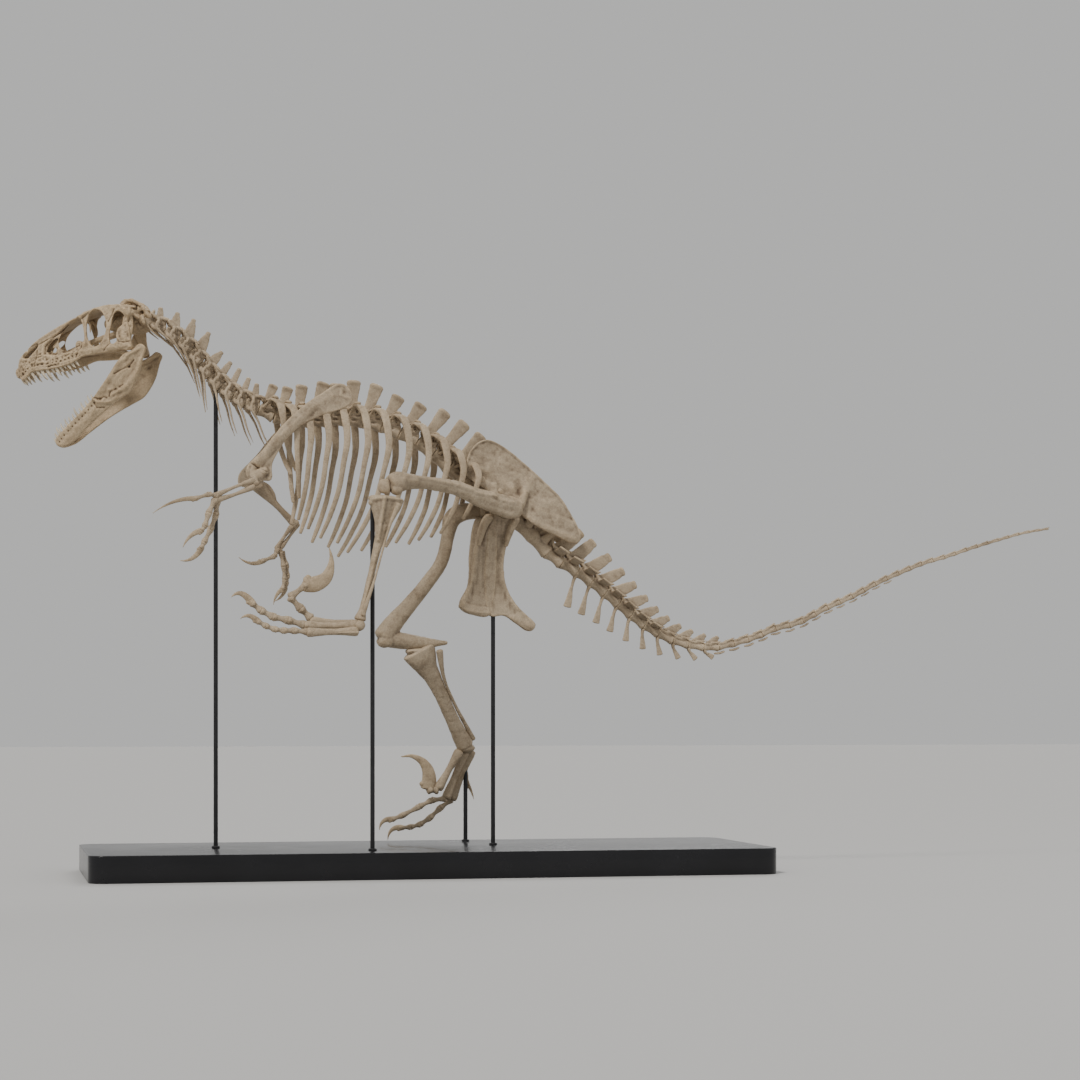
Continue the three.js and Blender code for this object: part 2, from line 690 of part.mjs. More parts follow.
function caudalSpines(frame) {
  const t = frame.i / SPINED;
  const fade = 1 - t;
  const { radius } = tailSizes(frame);
  const spine = neuralSpine(frame, {
    base: radius * 1.4,
    length: 24 + 86 * fade,
    lean: mix(17, 46, t ** 0.8),
    wide: 30 + 10 * fade,
    top: 14 + 26 * fade,
    thick: 9 + 3 * fade,
  });
  const chevron = loft([
    [...placed(frame, -frame.length * 0.4, 0, -radius * 0.6), 5, 9],
    [...placed(frame, -frame.length * 0.3 + 34 * fade + 26 * t, 0, -radius - 12 - 112 * fade), 4,
      8 + 5 * fade],
  ], { sides: 4, up: frame.along });
  const wings = frame.i > 6 ? [] : [LEFT, RIGHT].map((side) => process(frame, side, {
    root: 4, span: radius + 10 + 56 * fade, height: radius * 0.9, rise: 8 * fade, sweep: 12,
      wide: frame.length * 0.5, thick: 4.5,
  }));
  return frame.i < 2 ? [spine, ...wings] : [spine, chevron, ...wings];
}

function tailSolids() {
  let next = 0;
  return TAIL_LENGTHS.map((count) => {
    const frames = tailFrames.slice(next, next + count);
    next += count;
    return joined([column(frames, tailSizes),
      ...frames.filter(({ i }) => i < SPINED).flatMap(caudalSpines)]);
  });
}

// Shoulder and arms

const SCAPULA_OUTLINE = [
  [-357, 1786], [-322, 1780], [-284, 1756], [-290, 1732], [-322, 1710], [-410, 1680], [-468, 1634],
    [-526, 1578],
  [-572, 1518], [-588, 1478], [-594, 1432], [-640, 1424], [-682, 1430], [-690, 1457], [-680, 1490],
    [-648, 1524],
  [-590, 1600], [-530, 1660], [-472, 1712], [-414, 1756],
];

function scapulaSolid(side) {
  const blade = plate(SCAPULA_OUTLINE, {
    thickness: 14,
    bevel: 0,
    bend: (p) => {
      const low = THREE.MathUtils.clamp((1780 - p.z) / 340, 0, 1);
      p.y += side * mix(112, 146, low ** 0.7);
    },
  });
  const glenoid = ball([-640, side * 150, 1456], 38, 20, 30);
  return joined([blade, glenoid]);
}

const ARMS = {
  left: {
    side: LEFT,
    shoulder: [-640, -162, 1450],
    elbow: [-670, -335, 1404],
    wrist: [-806, -392, 1346],
    spread: [0, 0, 1],
    digits: [
      { points: [[-812, -398, 1352], [-832, -404, 1356], [-884, -414, 1338]], bow: [-956, -420, 1340],
        tip: [-1030, -424, 1284], size: 12 },
      { points: [[-812, -396, 1338], [-836, -410, 1288], [-850, -420, 1242], [-862, -424, 1226]],
        bow: [-906, -430, 1216], tip: [-927, -432, 1166], size: 14 },
      { points: [[-802, -384, 1334], [-808, -380, 1284], [-826, -376, 1234], [-848, -374, 1190],
        [-858, -374, 1168]], bow: [-886, -374, 1118], tip: [-932, -372, 1124], size: 14 },
    ],
  },
  right: {
    side: RIGHT,
    shoulder: [-616, 162, 1456],
    elbow: [-456, 202, 1300],
    wrist: [-514, 230, 1214],
    spread: [1, 0, 0.4],
    digits: [
      { points: [[-522, 226, 1204], [-532, 218, 1182], [-580, 214, 1162]], bow: [-624, 212, 1140],
        tip: [-668, 210, 1176], size: 13 },
      { points: [[-508, 232, 1200], [-496, 236, 1144], [-492, 238, 1096], [-500, 240, 1060]],
        bow: [-528, 240, 1040], tip: [-534, 240, 1000], size: 12 },
      { points: [[-500, 244, 1202], [-482, 250, 1150], [-478, 252, 1110], [-482, 254, 1080],
        [-486, 254, 1062]], bow: [-500, 254, 1024], tip: [-530, 254, 1014], size: 11 },
    ],
  },
};

function between(a, b, t) {
  return a.map((value, i) => mix(value, b[i], t));
}

function offset(a, way, by) {
  return a.map((value, i) => value + way[i] * by);
}

function humerusSolid({ shoulder, elbow }) {
  return loft([
    [...shoulder, 26, 18], [...between(shoulder, elbow, 0.25), 24, 14],
      [...between(shoulder, elbow, 0.55), 13, 12],
    [...between(shoulder, elbow, 0.85), 15, 13], [...elbow, 22, 15],
  ], { sides: 6, up: vec(0.2, 1, 0.4) });
}

// A finger or toe as one row of sections: wide at each knuckle, narrow between, then the claw
function digitStations(points, size) {
  return points.flatMap((point, i) => {
    const fat = size * mix(0.85, 0.7, i / points.length);
    const knuckle = [...point, fat, fat * 0.85];
    if (i === points.length - 1) return [knuckle];
    return [knuckle, [...between(point, points[i + 1], 0.5), fat * 0.58, fat * 0.58]];
  });
}

function digitSolid({ points, bow, tip, size }) {
  const root = points[points.length - 1];
  const stations = [...digitStations(points, size), ...clawStations(root, bow, tip, size)];
  return loft(stations, { sides: 5, up: Y_AXIS });
}

// Legs

const LEFT_LEG = {
  side: LEFT,
  femur: [
    [334, -104, 1344, 30, 34], [306, -116, 1342, 32, 42], [236, -142, 1360, 26, 40],
      [170, -172, 1380, 24, 36],
    [80, -212, 1410, 23, 29], [-50, -272, 1422, 22, 26], [-118, -302, 1424, 32, 31],
      [-168, -320, 1424, 42, 38],
    [-206, -332, 1418, 36, 30],
  ],
  femurHead: [[316, -112, 1356], [318, -56, 1368], 26],
  condyles: [[-172, -296, 1398], [-178, -352, 1396]],
  tibia: [
    [-182, -336, 1358, 74, 42], [-192, -338, 1326, 54, 34], [-212, -340, 1262, 21, 22],
      [-236, -340, 1156, 14, 17],
    [-258, -340, 1064, 11, 16], [-282, -340, 966, 12, 18], [-292, -340, 926, 21, 30],
  ],
  fibula: [[-166, -376, 1342, 14, 8], [-200, -372, 1262, 6, 6], [-252, -366, 1060, 5, 5],
    [-288, -366, 940, 10, 7]],
  ankle: [[-298, -340, 904], 24, 30, 22],
  metatarsals: [
    [[-306, -320, 908], [-462, -292, 920]],
    [[-306, -338, 902], [-488, -330, 902]],
    [[-306, -356, 882], [-484, -372, 876]],
  ],
  metatarsalSize: 17,
  toes: {
    toe_1: { points: [[-346, -296, 908], [-376, -278, 900]], bow: [-404, -272, 904], tip: [-424, -270, 886],
      size: 9 },
    toe_2: { points: [[-462, -290, 930], [-498, -290, 964], [-536, -290, 1004], [-476, -290, 1050]],
      sickle: true },
    toe_3: { points: [[-490, -330, 904], [-548, -330, 920], [-602, -330, 932], [-644, -330, 954],
      [-676, -330, 980]], bow: [-716, -330, 1036], tip: [-749, -330, 1000], size: 18 },
    toe_4: { points: [[-486, -372, 878], [-532, -372, 882], [-568, -372, 882], [-600, -372, 886],
      [-632, -372, 898], [-660, -372, 914]], bow: [-692, -372, 948], tip: [-722, -372, 922], size: 15 },
  },
  sickle: [
    [-484, -290, 1050, 28, 12], [-446, -290, 1052, 29, 11], [-410, -290, 1072, 24, 9],
      [-392, -290, 1108, 16, 7],
    [-388, -290, 1146, 8, 4], [-396, -290, 1182, 1, 0.8],
  ],
};

const RIGHT_LEG = {
  side: RIGHT,
  femur: [
    [292, 98, 1352, 22, 26], [232, 108, 1352, 24, 26], [170, 112, 1352, 28, 34], [128, 114, 1326, 27, 34],
    [112, 116, 1262, 22, 25], [88, 118, 1166, 21, 25], [34, 120, 1084, 21, 26], [-34, 124, 1000, 23, 29],
    [-98, 126, 926, 34, 36], [-130, 126, 880, 42, 40],
  ],
  femurHead: [[292, 110, 1352], [316, 56, 1366], 26],
  condyles: [[-122, 102, 866], [-122, 150, 866]],
  shelf: [[-108, 126, 874, 34, 34], [-6, 128, 858, 30, 26], [108, 128, 856, 16, 8]],
  tibia: [
    [-6, 128, 828, 74, 38], [24, 134, 796, 56, 30], [54, 150, 740, 34, 22], [98, 178, 660, 27, 19],
    [140, 206, 580, 26, 19], [178, 232, 510, 30, 24], [202, 248, 470, 34, 32],
  ],
  fibula: [[78, 108, 826, 14, 10], [100, 142, 730, 7, 8], [144, 184, 640, 6, 7], [236, 250, 492, 10, 8]],
  ankle: [[206, 252, 458], 36, 34, 22],
  metatarsals: [
    [[178, 236, 444], [96, 232, 304]],
    [[204, 256, 444], [134, 266, 268]],
    [[232, 276, 444], [162, 300, 262]],
  ],
  metatarsalSize: 19,
  toes: {
    toe_1: { points: [[214, 288, 380], [218, 302, 356], [228, 306, 312]], bow: [240, 308, 296],
      tip: [250, 308, 258], size: 10 },
    toe_2: { points: [[92, 230, 298], [56, 228, 298]], sickle: true },
    toe_3: { points: [[130, 266, 264], [76, 264, 258], [28, 262, 234], [-40, 260, 200], [-78, 260, 186]],
      bow: [-122, 260, 192], tip: [-127, 260, 146], size: 15 },
    toe_4: { points: [[160, 302, 258], [116, 304, 226], [76, 304, 188], [38, 304, 164], [0, 304, 154],
      [-36, 304, 152]], bow: [-84, 304, 158], tip: [-88, 304, 104], size: 15 },
  },
  sickle: [
    [54, 228, 304, 28, 12], [60, 228, 338, 28, 11], [54, 228, 376, 23, 9], [30, 228, 410, 15, 7],
    [-8, 228, 428, 8, 4], [-48, 228, 426, 1, 0.8],
  ],
};

function femurSolid(leg) {
  const [root, headCentre, radius] = leg.femurHead;
  const up = leg.side === LEFT ? Z_AXIS : Y_AXIS;
  const turned = leg.side === LEFT ? leg.femur : leg.femur.map(([x, y, z, w, h]) => [x, y, z, h, w]);
  return joined([
    loft(turned, { sides: 6, up }),
    loft([[...root, 18, 18], [...headCentre, radius, radius]], { sides: 6, up: X_AXIS, cap: 0.5 }),
    ...leg.condyles.map((centre) => ball(centre, 30, 22, 30)),
    ...(leg.shelf ? [loft(leg.shelf, { sides: 5, up: Z_AXIS })] : []),
  ]);
}

// Shin bones stand upright, so their first size runs fore and aft and their second across
function uprightLoft(stations, sides) {
  return loft(stations, { sides, up: Y_AXIS });
}

function metatarsusSolid(leg) {
  const [centre, rx, ry, rz] = leg.ankle;
  const size = leg.metatarsalSize;
  return joined([
    ball(centre, rx, ry, rz),
    ...leg.metatarsals.map(([a, b]) => shaft(a, b, size, size * 0.7, { sides: 5, up: Y_AXIS })),
  ]);
}

function toeSolid(leg, name) {
  const toe = leg.toes[name];
  if (!toe.sickle) return digitSolid(toe);
  const phalanges = loft(digitStations(toe.points, 20), { sides: 5, up: Y_AXIS });
  return joined([phalanges, loft(leg.sickle, { sides: 5, up: Y_AXIS, cap: 0.4 })]);
}

// Assembly: each node is cut clear of those it touches

const dorsalFrames = stationsOf(BACK);
const ilia = { left: iliumSolid(LEFT), right: iliumSolid(RIGHT) };
const sacrum = largest(clearOf(sacrumSolid(stationsOf(SACRUM)), [ilia.left, ilia.right]));
const wholeBack = joined([column(dorsalFrames, backSizes), ...dorsalFrames.flatMap(dorsal)]);
const backClear = wholeBack.subtract(grown(sacrum));
const torso = { left: largest(halfOf(backClear, LEFT)), right: largest(halfOf(backClear, RIGHT)) };
const torsoBoth = [torso.left, torso.right];

const neckFrames = stationsOf(NECK);
const neckRear = largest(clearOf(joined(neckPart(neckFrames.slice(5))), torsoBoth));
const neckFront = largest(clearOf(joined([...neckPart(neckFrames.slice(0, 5)), ...atlasSolid()]),
  [neckRear]));
const skull = largest(clearOf(skullSolid(), [neckFront]));
const jaws = {
  left: largest(clearOf(jawSolid(LEFT), [skull, neckFront])),
  right: largest(clearOf(jawSolid(RIGHT), [skull, neckFront])),
};

addNode('skull', skull, toothBone);
addNode('mandible_left', jaws.left, toothBone);
addNode('mandible_right', jaws.right, toothBone);
addNode('neck_front', neckFront);
addNode('neck_rear', neckRear);
addNode('torso_left', torso.left);
addNode('torso_right', torso.right);
addNode('sacrum', sacrum);

const tails = [];
tailSolids().forEach((solid, i) => {
  const before = i === 0 ? sacrum : tails[i - 1];
  tails.push(largest(clearOf(solid, [before])));
  addNode(`tail_${i + 1}`, tails[i]);
});

const bones = [skull, jaws.left, jaws.right, neckFront, neckRear, ...torsoBoth, sacrum, ...tails];

function addBone(name, solid, neighbours = bones) {
  const cut = largest(clearOf(solid, neighbours));
  addNode(name, cut);
  bones.push(cut);
  return cut;
}

[['left', LEFT], ['right', RIGHT]].forEach(([word, side]) => {
  const ilium = addBone(`ilium_${word}`, ilia[word], [torso[word], tails[0]]);
  const pubis = addBone(`pubis_${word}`, pubisSolid(side), [sacrum, ilium]);
  addBone(`ischium_${word}`, ischiumSolid(side), [sacrum, ilium, pubis]);
  addBone(`scapula_${word}`, scapulaSolid(side), [torso[word], neckRear]);
});

Object.entries(ARMS).forEach(([word, arm]) => {
  const humerus = addBone(`humerus_${word}`, humerusSolid(arm));
  const radius = addBone(`radius_${word}`,
    shaft(offset(arm.elbow, arm.spread, 10), offset(arm.wrist, arm.spread, 8), 10, 6, { up: Y_AXIS }),
    [humerus]);
  const ulna = addBone(`ulna_${word}`,
    shaft(offset(arm.elbow, arm.spread, -12), offset(arm.wrist, arm.spread, -9), 11, 7, { up: Y_AXIS }),
    [humerus, radius]);
  const fingers = [];
  [1, 0, 2].forEach((i) => {
    fingers.push(addBone(`finger_${i + 1}_${word}`, digitSolid(arm.digits[i]), [radius, ulna, ...fingers]));
  });
});

[['left', LEFT_LEG], ['right', RIGHT_LEG]].forEach(([word, leg]) => {
  const femur = addBone(`femur_${word}`, femurSolid(leg));
  const tibia = addBone(`tibia_${word}`, uprightLoft(leg.tibia, 8), [femur]);
  addBone(`fibula_${word}`, uprightLoft(leg.fibula, 6), [femur, tibia]);
  const metatarsus = addBone(`metatarsus_${word}`, metatarsusSolid(leg), bones.slice(-2));
  ['toe_2', 'toe_3', 'toe_4', 'toe_1'].forEach((name) => {
    addBone(`${name}_${word}`, toeSolid(leg, name), [metatarsus, tibia, ...bones.slice(-3)]);
  });
});

const RODS = {
  stand_rod_neck: [[-773, 0], 1800],
  stand_rod_knee: [[-241, -300], 1345],
  stand_rod_pelvis: [[262, 0], 985],
  stand_rod_foot: [[212, 284], 420],
};

addNode('stand_base', baseSolid(), blackGloss);
Object.entries(RODS).forEach(([name, [place, top]]) => {
  const solid = clearOf(rodSolid(place, top), bones);
  const lowest = solid.decompose().reduce((low, piece) => (
    piece.boundingBox().min[2] < low.boundingBox().min[2] ? piece : low
  ));
  addNode(name, lowest, blackRod);
});

export default part;
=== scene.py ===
"""Mounted skeleton of a large dromaeosaurid on its slab: the looks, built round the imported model."""

import itertools
import math

import bpy
import numpy as np
from mathutils import Matrix, Vector
from mathutils.geometry import tessellate_polygon


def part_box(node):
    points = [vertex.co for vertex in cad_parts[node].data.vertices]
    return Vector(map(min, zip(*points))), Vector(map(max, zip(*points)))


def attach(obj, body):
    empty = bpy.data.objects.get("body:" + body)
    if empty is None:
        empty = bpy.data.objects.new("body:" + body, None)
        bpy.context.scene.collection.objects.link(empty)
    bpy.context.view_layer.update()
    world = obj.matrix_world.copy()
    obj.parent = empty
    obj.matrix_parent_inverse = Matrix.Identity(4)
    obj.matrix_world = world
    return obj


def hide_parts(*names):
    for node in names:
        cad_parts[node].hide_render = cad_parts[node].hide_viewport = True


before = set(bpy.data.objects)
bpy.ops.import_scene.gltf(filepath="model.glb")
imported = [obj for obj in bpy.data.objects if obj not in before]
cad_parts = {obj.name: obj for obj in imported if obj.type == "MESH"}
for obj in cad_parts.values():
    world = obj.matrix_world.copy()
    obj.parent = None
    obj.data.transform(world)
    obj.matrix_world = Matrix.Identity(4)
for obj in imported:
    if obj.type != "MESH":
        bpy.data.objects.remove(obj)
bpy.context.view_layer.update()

# Shapes below are in millimetres and in the model's frame; meshes are made in metres
MM = 0.001
LEFT = -1
RIGHT = 1
SIDES = (("left", LEFT), ("right", RIGHT))
UP = (0, 0, 1)
ACROSS = (0, 1, 0)
ALONG = (1, 0, 0)


# Numbers and curves

def mix(a, b, t):
    return a + (b - a) * t


def unit(rows):
    return rows / np.maximum(np.linalg.norm(rows, axis=-1, keepdims=True), 1e-9)


def spline(points, per=12, closed=False):
    """A dense smooth curve through rows; columns past the third are sizes that change along it."""
    rows = np.asarray(points, float)
    if closed:
        rows = np.vstack([rows[-1:], rows, rows[:2]])
    else:
        rows = np.vstack([2 * rows[0] - rows[1], rows, 2 * rows[-1] - rows[-2]])
    out = []
    for i in range(1, len(rows) - 2):
        p0, p1, p2, p3 = rows[i - 1:i + 3]
        knots = [0.0]
        for a, b in ((p0, p1), (p1, p2), (p2, p3)):
            knots.append(knots[-1] + max(np.linalg.norm(b[:3] - a[:3]), 1e-4) ** 0.5)
        t0, t1, t2, t3 = knots
        t = np.linspace(t1, t2, per, endpoint=False)[:, None]
        a1 = (t1 - t) / (t1 - t0) * p0 + (t - t0) / (t1 - t0) * p1
        a2 = (t2 - t) / (t2 - t1) * p1 + (t - t1) / (t2 - t1) * p2
        a3 = (t3 - t) / (t3 - t2) * p2 + (t - t2) / (t3 - t2) * p3
        b1 = (t2 - t) / (t2 - t0) * a1 + (t - t0) / (t2 - t0) * a2
        b2 = (t3 - t) / (t3 - t1) * a2 + (t - t1) / (t3 - t1) * a3
        out.append((t2 - t) / (t2 - t1) * b1 + (t - t1) / (t2 - t1) * b2)
    if not closed:
        out.append(rows[-2:-1])
    return np.vstack(out)


def spaced(rows, step, closed=False):
    """The same curve as points evenly spaced, about step apart."""
    if closed:
        rows = np.vstack([rows, rows[:1]])
    run = np.concatenate([[0], np.cumsum(np.linalg.norm(np.diff(rows[:, :3], axis=0), axis=1))])
    count = max(int(round(run[-1] / step)), 3)
    at = np.linspace(0, run[-1], count + 1)
    if closed:
        at = at[:-1]
    return np.stack([np.interp(at, run, rows[:, k]) for k in range(rows.shape[1])], axis=1)


def grain(points, size, seed=0):
    """Smooth random values from -1 to 1, with about one bump in each `size` millimetres."""
    cell = points / size
    base = np.floor(cell).astype(np.int64)
    part = cell - base
    part = part * part * (3 - 2 * part)
    total = np.zeros(len(points))
    for corner in itertools.product((0, 1), repeat=3):
        key = base + corner
        mixed = (key[:, 0] * 73856093) ^ (key[:, 1] * 19349663) ^ (key[:, 2] * 83492791) ^ (seed * 7919)
        mixed = (mixed * 1103515245 + 12345) & 0x7FFFFFFF
        mixed = (mixed ^ (mixed >> 13)) * 1274126177 & 0x7FFFFFFF
        weight = np.prod(np.where(corner, part, 1 - part), axis=1)
        total += weight * (mixed / 0x3FFFFFFF - 1)
    return total


# Meshes: each is (points, faces) with faces as tuples of indices

def merged(parts):
    points = []
    faces = []
    start = 0
    for part_points, part_faces in parts:
        points.append(part_points)
        faces.extend(tuple(i + start for i in face) for face in part_faces)
        start += len(part_points)
    return np.vstack(points), faces


def moved(part, matrix):
    points, faces = part
    grid = np.array(matrix)
    return points @ grid[:3, :3].T + grid[:3, 3], faces


def mirrored(rows, side):
    """Stations given for the right side, put on either side."""
    return [(x, side * y, z, *sizes) for x, y, z, *sizes in rows]


def tube_faces(count, sides):
    """Square faces between neighbours in a row of rings."""
    faces = []
    for i in range(count - 1):
        for j in range(sides):
            k = (j + 1) % sides
            faces.append((i * sides + j, i * sides + k, (i + 1) * sides + k, (i + 1) * sides + j))
    return faces


def capped(rings):
    """A row of rings as a closed solid with flat ends."""
    count = len(rings)
    sides = len(rings[0])
    faces = tube_faces(count, sides)
    faces.append(tuple(reversed(range(sides))))
    faces.append(tuple(range((count - 1) * sides, count * sides)))
    return np.vstack(rings), faces


CAP_ANGLES = (0.45, 0.9, 1.3)


def loft(stations, up=UP, step=5.0, sides=14, power=2.0, cap=0.6):
    """A row of oval sections along a smooth line. Each station is x, y, z, half width, half height."""
    rows = spaced(spline(stations), step)
    centres = rows[:, :3]
    sizes = np.maximum(rows[:, 3:5], 0.3)
    ways = unit(np.gradient(centres, axis=0))
    side = unit(np.cross(np.asarray(up, float), ways))
    top = np.cross(ways, side)
    turn = np.linspace(0, 2 * math.pi, sides, endpoint=False)
    across = np.sign(np.cos(turn)) * np.abs(np.cos(turn)) ** (2 / power)
    upward = np.sign(np.sin(turn)) * np.abs(np.sin(turn)) ** (2 / power)
    order = [(0, -math.sin(a), math.cos(a)) for a in reversed(CAP_ANGLES)]
    order += [(i, 0.0, 1.0) for i in range(len(centres))]
    order += [(len(centres) - 1, math.sin(a), math.cos(a)) for a in CAP_ANGLES]
    rings = []
    for i, push, shrink in order:
        bulge = cap * min(sizes[i])
        centre = centres[i] + ways[i] * push * bulge
        rings.append(centre + shrink * (sizes[i, 0] * across[:, None] * side[i]
                                        + sizes[i, 1] * upward[:, None] * top[i]))
    count = len(rings)
    points = np.vstack(rings + [centres[0] - ways[0] * cap * min(sizes[0]),
                                centres[-1] + ways[-1] * cap * min(sizes[-1])])
    faces = tube_faces(count, sides)
    for j in range(sides):
        k = (j + 1) % sides
        faces.append((count * sides, k, j))
        faces.append((count * sides + 1, (count - 1) * sides + j, (count - 1) * sides + k))
    return points, faces


def slab(outline, thickness, holes=(), step=5.0):
    """A flat plate with its outline in the X-Z plane and its thickness along Y."""
    loops = []
    for loop in [outline, *holes]:
        rows = spline([(x, 0.0, z) for x, z in loop], closed=True)
        loops.append(spaced(rows, step, closed=True))
    flat = [[Vector((p[0], p[2], 0)) for p in loop] for loop in loops]
    triangles = tessellate_polygon(flat)
    points = np.vstack(loops)
    count = len(points)
    half = np.array([0, thickness / 2, 0])
    faces = [tuple(t) for t in triangles] + [tuple(i + count for i in reversed(t)) for t in triangles]
    start = 0
    for loop in loops:
        for j in range(len(loop)):
            a = start + j
            b = start + (j + 1) % len(loop)
            faces.append((a, b, b + count, a + count))
        start += len(loop)
    return np.vstack([points - half, points + half]), faces


def ball(centre, rx, ry, rz):
    x, y, z = centre
    turn = np.linspace(2.9, 0.24, 9)
    rows = [(x + rx * math.cos(a), y, z, ry * math.sin(a), rz * math.sin(a)) for a in turn]
    return loft(rows, step=rx / 4, cap=0.3)


def to_mesh(name, points, faces):
    mesh = bpy.data.meshes.new(name)
    mesh.from_pydata((points * MM).tolist(), [], faces)
    mesh.update()
    return mesh


def arrays(mesh):
    points = np.empty(len(mesh.vertices) * 3)
    mesh.vertices.foreach_get("co", points)
    loops = np.empty(len(mesh.loops), np.int64)
    mesh.loops.foreach_get("vertex_index", loops)
    return points.reshape(-1, 3) / MM, loops.reshape(-1, 4)


def shown(made):
    bpy.context.scene.collection.objects.link(made)
    return made


def fused(parts, voxel):
    """One even skin of square faces round everything in parts."""
    mesh = to_mesh("fusing", *merged(parts))
    worker = shown(bpy.data.objects.new("fusing", mesh))
    skin = worker.modifiers.new("skin", "REMESH")
    skin.mode = "VOXEL"
    skin.voxel_size = voxel * MM
    evaluated = worker.evaluated_get(bpy.context.evaluated_depsgraph_get())
    result = arrays(evaluated.to_mesh())
    evaluated.to_mesh_clear()
    bpy.data.objects.remove(worker)
    bpy.data.meshes.remove(mesh)
    return result


def normals_of(points, quads):
    a, b, c, d = (points[quads[:, k]] for k in range(4))
    face = np.cross(c - a, d - b)
    total = np.zeros_like(points)
    for k in range(4):
        for axis in range(3):
            total[:, axis] += np.bincount(quads[:, k], face[:, axis], len(points))
    return unit(total)


def relaxed(points, quads, rounds, factor=0.5):
    """Rounds a skin off: each point moves part of the way to the middle of its neighbours."""
    starts = quads.ravel()
    ends = np.roll(quads, -1, axis=1).ravel()
    both = np.concatenate([starts, ends])
    other = np.concatenate([ends, starts])
    share = np.maximum(np.bincount(both, minlength=len(points)), 1)
    for _ in range(rounds):
        middle = np.stack([np.bincount(both, points[other, k], len(points)) for k in range(3)], axis=1)
        points = mix(points, middle / share[:, None], factor)
    return points


def pitted(points, quads, centre, radii):
    """Pushes what lies inside an ellipsoid in along its normals, to leave a hollow of that shape."""
    normals = normals_of(points, quads)
    radii = np.asarray(radii, float)
    offset = (points - np.asarray(centre, float)) / radii
    inside = (offset ** 2).sum(axis=1) < 1
    way = -normals[inside] / radii
    start = offset[inside]
    a = (way ** 2).sum(axis=1)
    b = 2 * (start * way).sum(axis=1)
    c = (start ** 2).sum(axis=1) - 1
    reach = (-b + np.sqrt(np.maximum(b * b - 4 * a * c, 0))) / (2 * a)
    points[inside] -= normals[inside] * reach[:, None]
    return points


def cast(parts, voxel=3.0, rounds=3, rough=0.6, pits=(), shape=None, seed=0):
    """One bone: its parts fused, rounded, hollowed and given a worn, uneven surface."""
    points, quads = fused(parts, voxel)
    points = relaxed(points, quads, rounds)
    if shape:
        points = shape(points)
    for centre, radii in pits:
        points = pitted(points, quads, centre, radii)
    if pits:
        points = relaxed(points, quads, 1)
    normals = normals_of(points, quads)
    uneven = grain(points, 26, seed) * 0.9 + grain(points, 9, seed + 1) * 0.5
    points = points + normals * (uneven * rough)[:, None]
    return points, quads


# These set how the hollow values below give the bone colour its painted shade in hollows and its painted
# highlight on edges
FLAT = 0.5
FINE_GAIN = 0.24
BROAD_GAIN = 0.08
BROAD_LIMITS = (-0.08, 0.25)


# The values made here give the bone colour its painted shade in hollows and corners and its painted highlight
# on edges and ridges
def hollows(points, quads):
    """How far each point lies in a hollow, from 0 on an edge through FLAT to 1 in a corner."""
    normals = normals_of(points, quads)
    near = relaxed(points, quads, 5)
    wide = relaxed(near, quads, 14)
    fine = ((near - points) * normals).sum(axis=1)
    broad = ((wide - points) * normals).sum(axis=1)
    return np.clip(FLAT + FINE_GAIN * fine + np.clip(BROAD_GAIN * broad, *BROAD_LIMITS), 0, 1)


# Materials

def material(name):
    made = bpy.data.materials.new(name)
    made.use_nodes = True
    tree = made.node_tree
    shader = tree.nodes["Principled BSDF"]
    return made, tree, shader


def node(tree, kind, **values):
    made = tree.nodes.new(kind)
    for key, value in values.items():
        if key in made.inputs:
            made.inputs[key].default_value = value
        else:
            setattr(made, key, value)
    return made


def noise_node(tree, where, scale, detail, roughness):
    made = node(tree, "ShaderNodeTexNoise", Scale=scale, Detail=detail, Roughness=roughness)
    tree.links.new(where, made.inputs["Vector"])
    return made.outputs["Fac"]


def ramp(tree, value, stops):
    made = tree.nodes.new("ShaderNodeValToRGB")
    elements = made.color_ramp.elements
    while len(elements) < len(stops):
        elements.new(0.5)
    for element, (position, colour) in zip(elements, stops):
        element.position = position
        element.color = (*colour, 1)
    tree.links.new(value, made.inputs["Fac"])
    return made.outputs["Color"]


def grey_ramp(tree, value, low, high):
    return ramp(tree, value, [(place, (grey,) * 3) for place, grey in (low, high)])


def blended(tree, kind, amount, first, second):
    made = tree.nodes.new("ShaderNodeMix")
    made.data_type = "RGBA"
    made.blend_type = kind
    made.inputs["Factor"].default_value = amount
    tree.links.new(first, made.inputs["A"])
    tree.links.new(second, made.inputs["B"])
    return made.outputs["Result"]


# Each noise is its bumps per metre, its detail and its roughness
BLOTCHES = (7.0, 5.0, 0.62)
STAINS = (34.0, 6.0, 0.7)
SPECKS = (210.0, 3.0, 0.6)
WHITE = (1, 1, 1)
BONE_LIGHT = (0.450, 0.362, 0.255)
BONE_MIDDLE = (0.345, 0.270, 0.185)
BONE_DARK = (0.210, 0.150, 0.095)
DUST = (0.56, 0.53, 0.49)
# Painted highlight on edges and ridges, and painted shade in hollows and corners
PAINTED_EDGE_HIGHLIGHT = (1.22, 1.19, 1.13)
PAINTED_CORNER_SHADE = (0.24, 0.18, 0.13)


